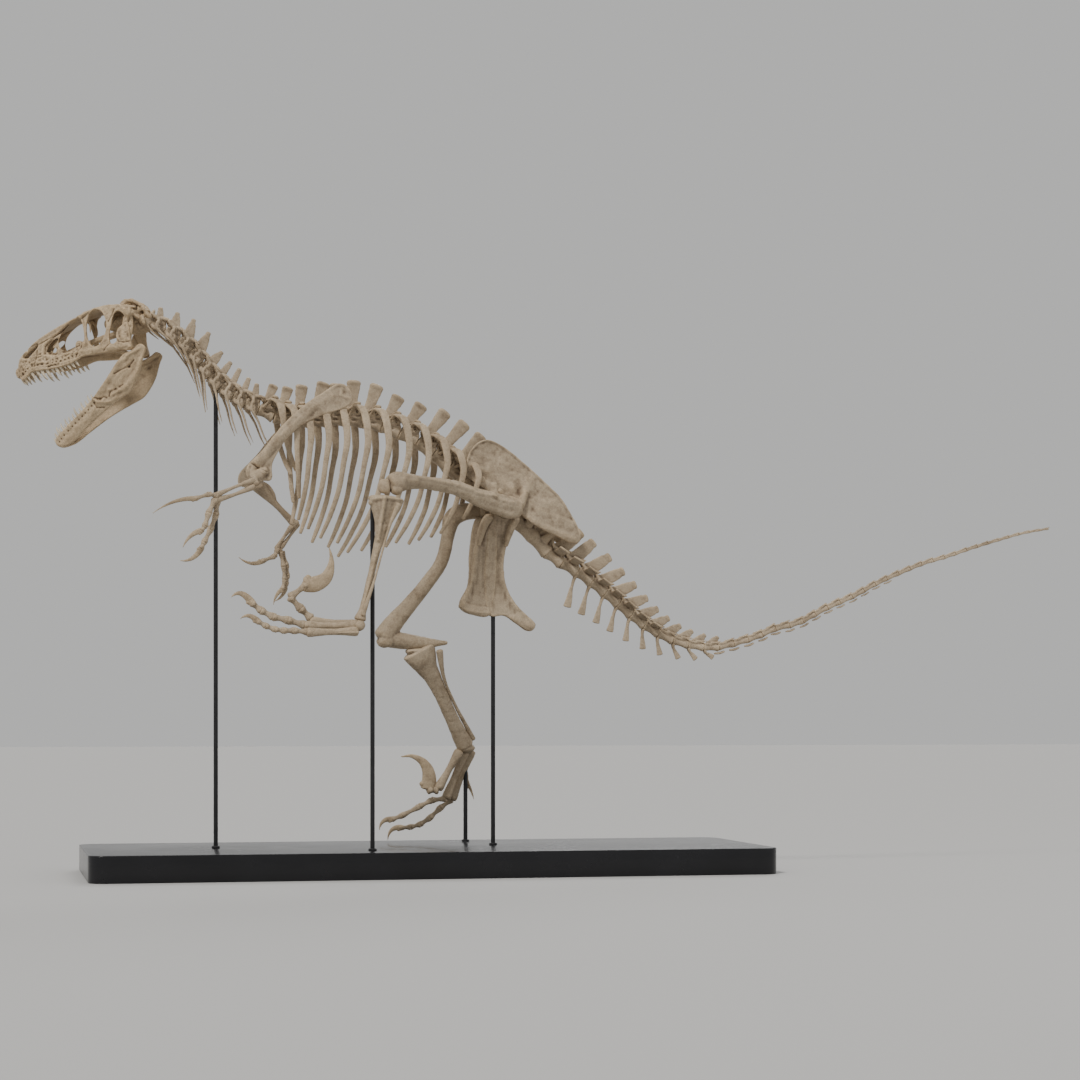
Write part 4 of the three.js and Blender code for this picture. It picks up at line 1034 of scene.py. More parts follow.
def root_relief(places, row, edges, start, gum, swell, hole_rise, hole_depth, hole_size):
    """Swellings over the roots of the teeth, each with a small hole behind it."""
    f, u = places.T
    low = np.clip(1 - np.sign(hole_rise) * (u - read_off(edges, f)) / gum, 0, 1) * (f > start)
    lift = np.zeros(len(places))
    for root, _, wide in row:
        lift += low * swell * np.exp(-((f - root) / wide) ** 2)
        hole = (root - 8, read_off(edges, root - 8) + hole_rise)
        lift += dent(places, hole, hole_size, hole_depth)
    return lift


def skull_shape(points, quads):
    normals = normals_of(points, quads)
    f = -points[:, 0]
    u = points[:, 2]
    side = np.sign(points[:, 1])
    places = np.stack([f, u], axis=1)
    lift = sunk(places, FOSSA, depth=6.5, soft=4) + carved(places, SKULL_RIDGES)
    lift += carved(places, [(line, 2.6, -3.4) for line in SKULL_SUTURES])
    lift += root_relief(places, UPPER_TEETH, UPPER_EDGE, start=200, gum=14, swell=2.4,
                        hole_rise=21, hole_depth=5.5, hole_size=3.2)
    worms = 1 - 2 * np.abs(grain(points * [0.45, 1, 1], 9, 5)) + 0.8 * grain(points, 6, 6)
    above = np.clip((u - read_off(UPPER_EDGE, f) - 8) / 8, 0, 1)
    muzzle = np.clip((f - 170) / 30, 0, 1) * np.clip((112 - u) / 14, 0, 1) * above
    lift += worms * mix(0.7, 2.6, muzzle) + grain(points, 17, 6) * 0.8
    rear = np.clip((60 - f) / 30, 0, 1)
    lift += rear * (grain(points, 13, 17) * 1.8 + grain(points, 7, 18) * 1.2)
    crown = np.clip(normals[:, 2], 0, 1) * (u > 120)
    knobs = np.clip((30 - f) / 20, 0, 1) * (grain(points, 14, 19) * 4 + grain(points, 8, 20) * 2)
    rise = crown * (grain(points, 12, 7) * 1.4 + knobs)
    return points + np.stack([f * 0, side * lift * facing_out(normals, side), rise], axis=1)


SKULL_ROOF = [
    (432, 78), (393, 118), (335, 143), (276, 159), (221, 172), (169, 184), (87, 193), (54, 189), (0, 176),
    (-40, 158),
]
SKULL_SNOUT = [(438, 0, 46, 9, 14), (428, 0, 60, 14, 26), (404, 0, 60, 22, 20), (372, 0, 66, 26, 12)]
# The palate's plates, the jaw joint with its wing, the strut behind and the splints before the eye
SKULL_PAIRS = [
    ([(410, 10, 58, 9, 5), (330, 20, 64, 12, 5), (240, 30, 68, 16, 4), (150, 46, 60, 18, 4),
      (90, 58, 50, 14, 6), (70, 62, 34, 7, 6)], {"sides": 14, "power": 2.6, "step": 6}),
    ([(400, 4, 66, 3, 4), (250, 7, 84, 3, 8), (120, 12, 96, 4, 10), (30, 14, 96, 6, 10)],
     {"sides": 10, "step": 8}),
    ([(-8, 62, 128, 14, 18), (0, 78, 90, 8, 22), (4, 92, 44, 10, 12), (2, 96, 12, 17, 11)],
     {"up": ALONG, "sides": 14, "step": 6}),
    ([(-40, 20, 118, 14, 20), (-56, 66, 104, 8, 18), (-66, 98, 92, 6, 14)], {"sides": 14, "step": 6}),
    ([(-10, 84, 140, 9, 16), (-30, 52, 146, 9, 14), (-44, 24, 150, 10, 14)], {"sides": 14, "step": 6}),
    ([(146, 36, 176, 4, 5), (138, 38, 150, 4, 4), (142, 40, 122, 3, 3)], {"sides": 10, "step": 4}),
    ([(160, 40, 176, 8, 9), (150, 48, 184, 12, 8), (120, 50, 190, 12, 6)], {"sides": 12, "step": 5}),
]
# The braincase, the knob that meets the neck and the crest at the back
SKULL_MIDDLE = [
    ([(84, 0, 142, 24, 20), (40, 0, 128, 34, 34), (-20, 0, 116, 40, 44), (-52, 0, 104, 32, 36)],
     {"sides": 20}),
    ([(-46, 0, 88, 16, 14), (-70, 0, 87, 13, 12), (-78, 0, 87, 13, 13)], {"sides": 16, "cap": 0.8}),
    ([(26, 0, 184, 30, 9), (6, 0, 190, 30, 11), (-12, 0, 192, 26, 12), (-36, 0, 172, 24, 13),
      (-58, 0, 140, 22, 16)],
     {"sides": 16, "power": 2.4}),
]
# Two rough ridges down the back on each side
SKULL_BACK_PAIRS = [
    ([(16, 16, 193, 8, 7), (-4, 20, 200, 9, 8), (-20, 24, 196, 9, 8), (-38, 28, 184, 8, 8),
      (-54, 30, 166, 7, 8), (-62, 30, 142, 7, 9), (-72, 24, 118, 8, 9)], {"sides": 12, "step": 4}),
    ([(20, 42, 180, 7, 8), (2, 47, 176, 7, 9), (-10, 50, 156, 7, 9), (-26, 52, 138, 7, 10),
      (-44, 46, 118, 7, 11)],
     {"sides": 12, "step": 4}),
]
SKULL_PITS = [((30, 44, 160), (13, 20, 16)), ((52, 42, 136), (9, 16, 13))]


def head_pairs(table):
    return [head_loft(rows, side, **options) for side in (LEFT, RIGHT) for rows, options in table]


def head_piece(name, solid, points, quads, row, matrix):
    """A bone of the head with its row of teeth, put in place."""
    made = moved((points, quads), matrix)
    piece(name, [made], [solid], skull_bone, [(tooth, moved(merged(row), matrix))])


def make_skull():
    holes = [NARIS, PROMAXILLARY, MAXILLARY, ANTORBITAL, ORBIT, LATERAL]
    roof = [(f, 0, u, float(skull_side(f, u)), 5) for f, u in SKULL_ROOF]
    parts = [side_wall(SKULL_OUTLINE, holes, 12, skull_side, side) for side in (LEFT, RIGHT)]
    parts.append(head_loft(roof, sides=20, power=3.5, step=6))
    parts.append(head_loft(SKULL_SNOUT, sides=16, power=2.4))
    parts += head_pairs(SKULL_PAIRS)
    parts += [head_loft(rows, **options) for rows, options in SKULL_MIDDLE]
    parts += head_pairs(SKULL_BACK_PAIRS)
    points, quads = fused(parts, 2.3)
    points = relaxed(points, quads, 2)
    for side in (LEFT, RIGHT):
        for (x, y, z), radii in SKULL_PITS:
            points = pitted(points, quads, (x, side * y, z), radii)
    points = relaxed(points, quads, 1)
    points = skull_shape(points, quads)
    points = relaxed(points, quads, 1, 0.25)
    row = []
    for side in (LEFT, RIGHT):
        row += teeth(side, UPPER_TEETH, SKULL_WIDTHS, UPPER_EDGE, False)
    head_piece("skull_bone", "skull", points, quads, row, HEAD_MATRIX)


JAW_OUTLINE = [
    (-38, -6), (0, 2), (24, 15), (60, 17), (100, 14), (139, 11), (180, 10), (224, 11), (262, 14), (313, 21),
    (360, 28), (398, 33), (424, 31), (436, 20), (434, 2), (416, -13), (388, -26), (330, -34), (258, -46),
    (205, -59), (165, -71), (115, -86), (73, -80), (30, -66), (3, -52), (-14, -44), (-40, -32),
]
JAW_EDGE = [*JAW_OUTLINE[6:13], (436, 22)]
JAW_WIDTHS = [(-40, 102), (60, 97), (150, 80), (245, 54), (330, 34), (402, 16), (440, 7)]
JAW_RIDGES = [
    ([(8, -12), (46, 4), (96, 5), (142, 4), (180, 2)], 9, 4.5),
    ([(3, -46), (30, -58), (64, -66), (90, -64), (116, -56)], 9, 6.5),
    ([(160, -20), (150, -34)], 6, 3.5),
    ([(168, -42), (151, -48), (136, -54)], 6, 5.0),
    ([(134, -56), (122, -66), (108, -68)], 7, 5.0),
    ([(196, -46), (178, -52), (164, -60)], 7, 3.5),
    ([(222, 8), (221, -10), (206, -30), (190, -52)], 6, 4.0),
    ([(214, -26), (280, -20), (350, -10), (420, 0)], 12, 4.0),
]
JAW_SUTURES = [
    [(20, -28), (49, -28), (73, -15), (102, -2)],
    [(176, -36), (160, -30), (140, -40)],
    [(126, -46), (112, -52)],
    [(214, 6), (206, -14), (190, -22), (186, -32)],
    [(230, -4), (236, -26), (220, -44)],
]
JAW_PITS = [((49, -30), 5, 7), ((205, -15), 6, 7)]
JAW_TROUGH = [(60, -30), (160, -30), (300, -10), (400, 6)]
JAW_JOINT = [(24, 96, 2, 16, 9), (0, 96, -8, 20, 9), (-32, 98, -16, 12, 11)]
JAW_CHIN = [(430, 7, 12, 6, 14), (400, 12, 8, 8, 18), (360, 24, 2, 8, 18)]


def jaw_shape(points, quads, side):
    normals = normals_of(points, quads)
    places = points[:, [0, 2]] * [-1, 1]
    lift = carved(places, JAW_RIDGES + [(line, 3, -4.2) for line in JAW_SUTURES], JAW_PITS)
    lift += root_relief(places, LOWER_TEETH, JAW_EDGE, start=210, gum=13, swell=2.2,
                        hole_rise=-17, hole_depth=5, hole_size=3)
    lift += grain(points * [0.45, 1, 1], 8, 8) * 1.5 + grain(points, 18, 9) * 1.0
    trough = carved(places, [(JAW_TROUGH, 12, 4)], [((22, -26), (14, 8), -6)])
    points[:, 1] += side * lift * facing_out(normals, side)
    points[:, 1] += side * trough * np.clip(-side * normals[:, 1], 0, 1)
    return points


def jaw_width(forward, height):
    return read_off(JAW_WIDTHS, forward) - 3 * np.clip((-height - 20) / 30, 0, 1)


def make_jaws():
    for word, side in SIDES:
        parts = [side_wall(JAW_OUTLINE, [], 13, jaw_width, side)]
        parts += [head_loft(rows, side, sides=14, step=5) for rows in (JAW_JOINT, JAW_CHIN)]
        points, quads = fused(parts, 2.3)
        points = relaxed(points, quads, 2)
        points = held_back(jaw_shape(points, quads, side), side)
        points = relaxed(points, quads, 2, 0.4)
        row = teeth(side, LOWER_TEETH, JAW_WIDTHS, JAW_EDGE, True)
        head_piece(f"jaw_{word}", f"mandible_{word}", points, quads, row, JAW_MATRIX)


make_skull()
make_jaws()


# Hips

ILIUM_OUTLINE = [
    (139, 1481), (142, 1522), (158, 1562), (186, 1594), (222, 1608), (262, 1598), (321, 1560), (371, 1520),
    (447, 1454), (505, 1400), (543, 1346), (578, 1286), (588, 1256), (576, 1232), (548, 1230), (486, 1255),
    (422, 1282), (378, 1308), (352, 1330), (344, 1352), (328, 1372), (302, 1378), (278, 1366), (268, 1332),
    (232, 1334), (232, 1396), (215, 1425), (176, 1446),
]
ILIUM_RIDGES = [
    (ILIUM_OUTLINE[:13], 5, 4.5),
    ([(150, 1512), (220, 1494), (273, 1464), (318, 1430)], 20, 6),
    ([(342, 1364), (358, 1395), (376, 1430), (388, 1462)], 22, 9),
    ([(378, 1318), (460, 1282), (560, 1246)], 13, 5),
]
ILIUM_DENTS = [
    ((232, 1556), (58, 36), 7), ((198, 1468), (36, 20), 8), ((343, 1418), (13, 24), 7),
    ((420, 1400), (60, 34), 5), ((398, 1350), (14, 16), 5),
]
# The knob behind the hip joint, the hood over it and the stalk that carries the pubis
ILIUM_PARTS = [
    ([(330, 92, 1350, 14, 12), (344, 97, 1366, 18, 15), (358, 90, 1392, 15, 10), (370, 80, 1420, 12, 5)],
     {"sides": 18}),
    ([(264, 84, 1352, 10, 10), (276, 88, 1376, 11, 10), (304, 90, 1388, 12, 10), (332, 92, 1376, 14, 12)],
     {"sides": 16}),
    ([(248, 74, 1446, 14, 5), (248, 82, 1392, 18, 14), (247, 84, 1340, 18, 18)],
     {"sides": 18, "power": 2.2, "cap": 0.4}),
]
# Each has its thick upper end and its thick lower end as parts, with how far they bulge at the tips
LOWER_HIPS = {
    "pubis": {
        "outline": [
            (246, 1328), (214, 1326), (196, 1290), (184, 1230), (176, 1170), (173, 1110), (164, 1062),
            (136, 1012), (134, 990), (150, 970), (186, 959), (246, 957),
        ],
        "ridges": [
            ([(206, 1310), (190, 1230), (181, 1150), (176, 1090), (160, 1040), (144, 1000)], 13, 8),
            ([(150, 976), (200, 966), (246, 962)], 11, 5),
        ],
        "groove": ((222, 1140), (18, 130), 4),
        "parts": [
            ([(232, 82, 1322, 17, 20), (214, 79, 1290, 14, 14), (201, 68, 1244, 11, 7),
              (196, 60, 1214, 8, 4)], 0.3),
            ([(140, 10, 1000, 16, 9.5), (166, 10.5, 984, 18, 10), (240, 10, 975, 17, 9.5)], 0.5),
        ],
        "seed": 14,
    },
    "ischium": {
        "outline": [
            (247, 957), (304, 956), (346, 930), (392, 900), (412, 902), (423, 925), (386, 962), (350, 998),
            (322, 1040), (302, 1090), (296, 1158), (306, 1230), (324, 1290), (346, 1322), (330, 1330),
            (290, 1316), (247, 1328),
        ],
        "ridges": [
            ([(318, 1300), (300, 1230), (290, 1150), (296, 1086), (320, 1030), (352, 984)], 12, 8),
            ([(340, 950), (400, 915)], 12, 3),
        ],
        "groove": ((266, 1140), (16, 130), 4),
        "parts": [
            ([(332, 83, 1318, 17, 16), (316, 79, 1282, 15, 13), (304, 68, 1242, 12, 7),
              (298, 60, 1212, 8, 4)], 0.5),
            ([(352, 9, 966, 17, 8), (386, 9, 934, 16, 8.5), (408, 9, 914, 13, 8.5)], 0.5),
        ],
        "seed": 16,
    },
}


def hip_line(x, z):
    """How far out from the middle the ilium's blade stands."""
    flare = np.clip((260 - x) / 120, 0, 1)
    low = np.clip((1460 - z) / 120, 0, 1)
    rear = np.clip((x - 400) / 180, 0, 1)
    return 66 + 16 * flare + 18 * low * (1 - rear) - 14 * rear


def lower_hip_line(_, z):
    return mix(84, 8.15, np.clip((1330 - z) / 290, 0, 1) ** 0.8)


def plate_bone(outline, thickness, side, out_at, parts, relief, voxel=3.0, seed=0):
    """A flat bone bent out to one side, joined to its thicker parts, with relief on its outer face."""
    points, quads = fused([slab(outline, thickness)], voxel)
    points[:, 1] += side * out_at(points[:, 0], points[:, 2])
    points, quads = fused([(points, quads), *parts], voxel)
    points = relaxed(points, quads, 4)
    normals = normals_of(points, quads)
    points[:, 1] += side * relief(points[:, [0, 2]]) * facing_out(normals, side)
    normals = normals_of(points, quads)
    uneven = grain(points, 30, seed) * 1.2 + grain(points, 11, seed + 1) * 0.7
    return points + normals * uneven[:, None] * 0.7, quads


def ilium(side):
    def relief(places):
        x, z = places.T
        lift = carved(places, ILIUM_RIDGES, ILIUM_DENTS) + flat_grain(x * 0.35 + z, 0, x * 0.16, 14, 11)
        return lift + flat_grain(x, 0, z, 26, 23) * 1.7 + flat_grain(x, 0, z, 11, 24) * 0.45
    parts = [loft(mirrored(rows, side), up=ACROSS, step=5, **options) for rows, options in ILIUM_PARTS]
    return plate_bone(ILIUM_OUTLINE, 13, side, hip_line, parts, relief, seed=12)


def lower_hip(side, outline, ridges, groove, parts, seed):
    """A pubis or an ischium, whose lower end meets its twin at the midline."""
    def relief(places):
        x, z = places.T
        return carved(places, ridges, [groove]) + flat_grain(x, z * 0.2, 0, 9, seed - 1) * 0.8
    thick = [loft(mirrored(rows, side), up=ACROSS, step=5, sides=16, cap=cap) for rows, cap in parts]
    points, quads = plate_bone(outline, 13, side, lower_hip_line, thick, relief, seed=seed)
    return held_back(points, side), quads


def make_hips():
    for word, side in SIDES:
        piece(f"ilium_{word}_bone", [ilium(side)], [f"ilium_{word}"])
        for name, form in LOWER_HIPS.items():
            piece(f"{name}_{word}_bone", [lower_hip(side, **form)], [f"{name}_{word}"])


# Shoulders

SCAPULA_OUTLINE = [
    (-398, 1758), (-366, 1780), (-336, 1795), (-312, 1790), (-290, 1764), (-284, 1738), (-309, 1708),
    (-395, 1676), (-475, 1636), (-526, 1588), (-560, 1536), (-582, 1492), (-586, 1434), (-618, 1430),
    (-664, 1434), (-677, 1446), (-677, 1472), (-666, 1494), (-634, 1524), (-580, 1592), (-550, 1630),
    (-490, 1690), (-440, 1730),
]
SCAPULA_RIDGES = [
    ([(-660, 1480), (-590, 1570), (-520, 1640), (-440, 1706), (-370, 1750)], 20, 6),
    ([(-600, 1500), (-612, 1540), (-600, 1570)], 12, 4),
    ([(-662, 1494), (-640, 1480), (-604, 1462)], 2.6, -3),
    ([(-290, 1762), (-314, 1788), (-340, 1792), (-400, 1758)], 6, 3),
    ([(-300, 1740), (-330, 1752), (-326, 1776)], 5, 2.5),
]
SCAPULA_DENTS = [((-664, 1480), (7, 9), 5), ((-636, 1470), (12, 10), 4), ((-316, 1762), (9, 9), 3)]
SCAPULA_JOINT = [(-606, 150, 1468, 14, 13), (-632, 153, 1454, 18, 16), (-656, 150, 1450, 14, 13)]
SCAPULA_STEM = [
    (-640, 144, 1490, 22, 11), (-580, 140, 1556, 18, 10), (-500, 132, 1636, 17, 9), (-420, 122, 1704, 17, 8),
    (-350, 114, 1752, 17, 7),
]


def shoulder_line(_, z):
    return mix(112, 146, np.clip((1780 - z) / 340, 0, 1) ** 0.7)


def scapula(side):
    def relief(places):
        x, z = places.T
        mottle = flat_grain(x, 0, z, 18, 25) * 1.1 + flat_grain(x, 0, z, 9, 26) * 0.35
        return carved(places, SCAPULA_RIDGES, SCAPULA_DENTS) + mottle
    parts = [
        loft(mirrored(SCAPULA_JOINT, side), up=ACROSS, step=4, sides=16),
        loft(mirrored(SCAPULA_STEM, side), up=ACROSS, step=6, sides=16, power=2.2),
    ]
    return plate_bone(SCAPULA_OUTLINE, 10, side, shoulder_line, parts, relief, voxel=2.8, seed=20)


def make_shoulders():
    for word, side in SIDES:
        piece(f"scapula_{word}_bone", [scapula(side)], [f"scapula_{word}"])


# Limbs

def between(a, b, t):
    return tuple(mix(p, q, t) for p, q in zip(a, b))


def shifted(a, way, by):
    return tuple(p + q * by for p, q in zip(a, way))


def long_bone(a, b, end, waist, bow=(0, 0, 0), voxel=2.2, seed=0, knobs=True):
    """A shaft between two swollen ends, with two lobes at its far end."""
    rows = []
    for t, share in ((0, 1.0), (0.06, 1.08), (0.2, 0.62), (0.5, 0.0), (0.8, 0.55), (0.93, 1.0), (1, 0.9)):
        size = mix(waist, end, share)
        rows.append((*shifted(between(a, b, t), bow, math.sin(math.pi * t)), size, size * 0.88))
    parts = [loft(rows, up=ACROSS, step=4, sides=16, power=2.2, cap=0.45)]
    if knobs:
        way = unit(np.subtract(b, a))
        wide = unit(np.cross(way, unit(np.cross(ACROSS, way))))
        for side in (LEFT, RIGHT):
            at = b - way * end * 0.35 + wide * side * end * 0.5
            parts.append(ball(at, end * 0.62, end * 0.55, end * 0.62))
    return cast(parts, voxel=voxel, rounds=2, rough=0.4, seed=seed)


CLAW_FLATNESS = 0.44


def claw_bone(root, bow, tip, size, seed=0):
    """A curved, flattened claw with a knob under its root."""
    rows = []
    for t in np.linspace(0, 1, 12):
        place = between(between(root, bow, t), between(bow, tip, t), t)
        deep = max(size * 0.82 * (1 - t) ** 0.62, 1.7)
        rows.append((*place, deep, max(deep * CLAW_FLATNESS, 1.4)))
    way = unit(np.subtract(bow, root))
    hook = np.subtract(tip, bow)
    inner = unit(hook - way * (hook @ way))
    heel = root + way * size * 0.55 + inner * size * 0.62
    parts = [
        loft(rows, up=ACROSS, step=3, sides=16, power=1.8),
        ball(heel, size * 0.4, size * 0.34, size * 0.4),
        ball(root, size * 0.66, size * 0.5, size * 0.74),
    ]
    return cast(parts, voxel=1.7, rounds=2, rough=0.25, seed=seed)


def phalanges(points, size, ends, waist, voxel, seed):
    """Small bones between neighbouring joints, thinner toward the tip."""
    bones = []
    for k, (a, b) in enumerate(zip(points, points[1:])):
        fat = size * mix(*ends, k / len(points))
        way = unit(np.subtract(b, a))
        bones.append(long_bone(a + way * 1.5, b - way * 1.5, fat, fat * waist, voxel=voxel, seed=seed + k))
    return bones


def digit(points, bow, tip, size, seed=0):
    """The separate bones of a finger or toe, and its claw."""
    bones = phalanges(points, size, (0.9, 0.74), 0.62, 1.9, seed)
    return bones, claw_bone(points[-1], bow, tip, size, seed=seed + 9)


# Each digit is its joints, the bend and the tip of its claw, and its size
ARMS = {
    "left": {
        "shoulder": (-640, -162, 1450), "elbow": (-670, -335, 1404), "wrist": (-806, -392, 1346),
        "spread": (0, 0, 1),
        "crest": (14, 0, -16),
        "digits": [
            ([(-812, -398, 1352), (-832, -404, 1356), (-884, -414, 1338)],
             (-956, -420, 1340), (-1030, -424, 1284), 12),
            ([(-812, -396, 1338), (-836, -410, 1288), (-850, -420, 1242), (-862, -424, 1226)],
             (-906, -430, 1216), (-927, -432, 1166), 14),
            ([(-802, -384, 1334), (-808, -380, 1284), (-826, -376, 1234), (-848, -374, 1190),
              (-858, -374, 1168)],
             (-886, -374, 1118), (-932, -372, 1124), 14),
        ],
    },
    "right": {
        "shoulder": (-616, 162, 1456), "elbow": (-456, 202, 1300), "wrist": (-514, 230, 1214),
        "spread": (1, 0, 0.4),
        "crest": (16, -4, 12),
        "digits": [
            ([(-522, 226, 1204), (-532, 218, 1182), (-580, 214, 1162)],
             (-624, 212, 1140), (-668, 210, 1176), 13),
            ([(-508, 232, 1200), (-496, 236, 1144), (-492, 238, 1096), (-500, 240, 1060)],
             (-528, 240, 1040), (-534, 240, 1000), 12),
            ([(-500, 244, 1202), (-482, 250, 1150), (-478, 252, 1110), (-482, 254, 1080), (-486, 254, 1062)],
             (-500, 254, 1024), (-530, 254, 1014), 11),
        ],
    },
}
HUMERUS_TILT = (0.2, 1, 0.4)
HUMERUS_SHAFT = ((0, 25, 16), (0.12, 26, 15), (0.3, 20, 12), (0.55, 12, 11), (0.85, 14, 11), (1, 17, 12))
HUMERUS_CREST = ((0.04, 0.5, 8), (0.18, 1.0, 13), (0.34, 0.9, 11), (0.48, 0.3, 7))
# Each is its offset at the elbow and the wrist, its end and waist sizes, its bow and its seed
FOREARM = {"radius": (10, 8, 10, 5.8, 3, 205), "ulna": (-12, -9, 11, 6.6, -4, 207)}


def humerus_bone(shoulder, elbow, crest, seed):
    shaft = [(*between(shoulder, elbow, t), w, h) for t, w, h in HUMERUS_SHAFT]
    edge = [(*shifted(between(shoulder, elbow, t), crest, push), w, 6) for t, push, w in HUMERUS_CREST]
    parts = [
        loft(shaft, up=HUMERUS_TILT, step=5, sides=18, power=2.2),
        loft(edge, up=HUMERUS_TILT, step=5, sides=12),
    ]
    way = unit(np.subtract(elbow, shoulder))
    wide = unit(np.cross(way, HUMERUS_TILT))
    parts += [ball(elbow - way * 4 + wide * side * 9, 11, 11, 11) for side in (LEFT, RIGHT)]
    return cast(parts, voxel=2.3, rounds=2, rough=0.5, seed=seed)


def make_arms():
    for number, (word, arm) in enumerate(ARMS.items()):
        elbow = arm["elbow"]
        wrist = arm["wrist"]
        spread = arm["spread"]
        humerus = humerus_bone(arm["shoulder"], elbow, arm["crest"], 200 + number)
        piece(f"humerus_{word}_bone", [humerus], [f"humerus_{word}"])
        for name, (at_elbow, at_wrist, end, waist, bow, seed) in FOREARM.items():
            made = long_bone(shifted(elbow, spread, at_elbow), shifted(wrist, spread, at_wrist), end, waist,
                             bow=shifted((0, 0, 0), spread, bow), voxel=2, seed=seed + number, knobs=False)
            piece(f"{name}_{word}_bone", [made], [f"{name}_{word}"])
        for k, row in enumerate(arm["digits"]):
            bones, nail = digit(*row, seed=210 + 20 * number + 5 * k)
            if k < 2:
                knuckle = ball(between(wrist, row[0][0], 0.55), 11, 10, 9)
                bones.append(cast([knuckle], voxel=2, rounds=1, rough=0.5, seed=k))
            piece(f"finger_{k + 1}_{word}_bones", bones, [f"finger_{k + 1}_{word}"], extra=[(claw, nail)])


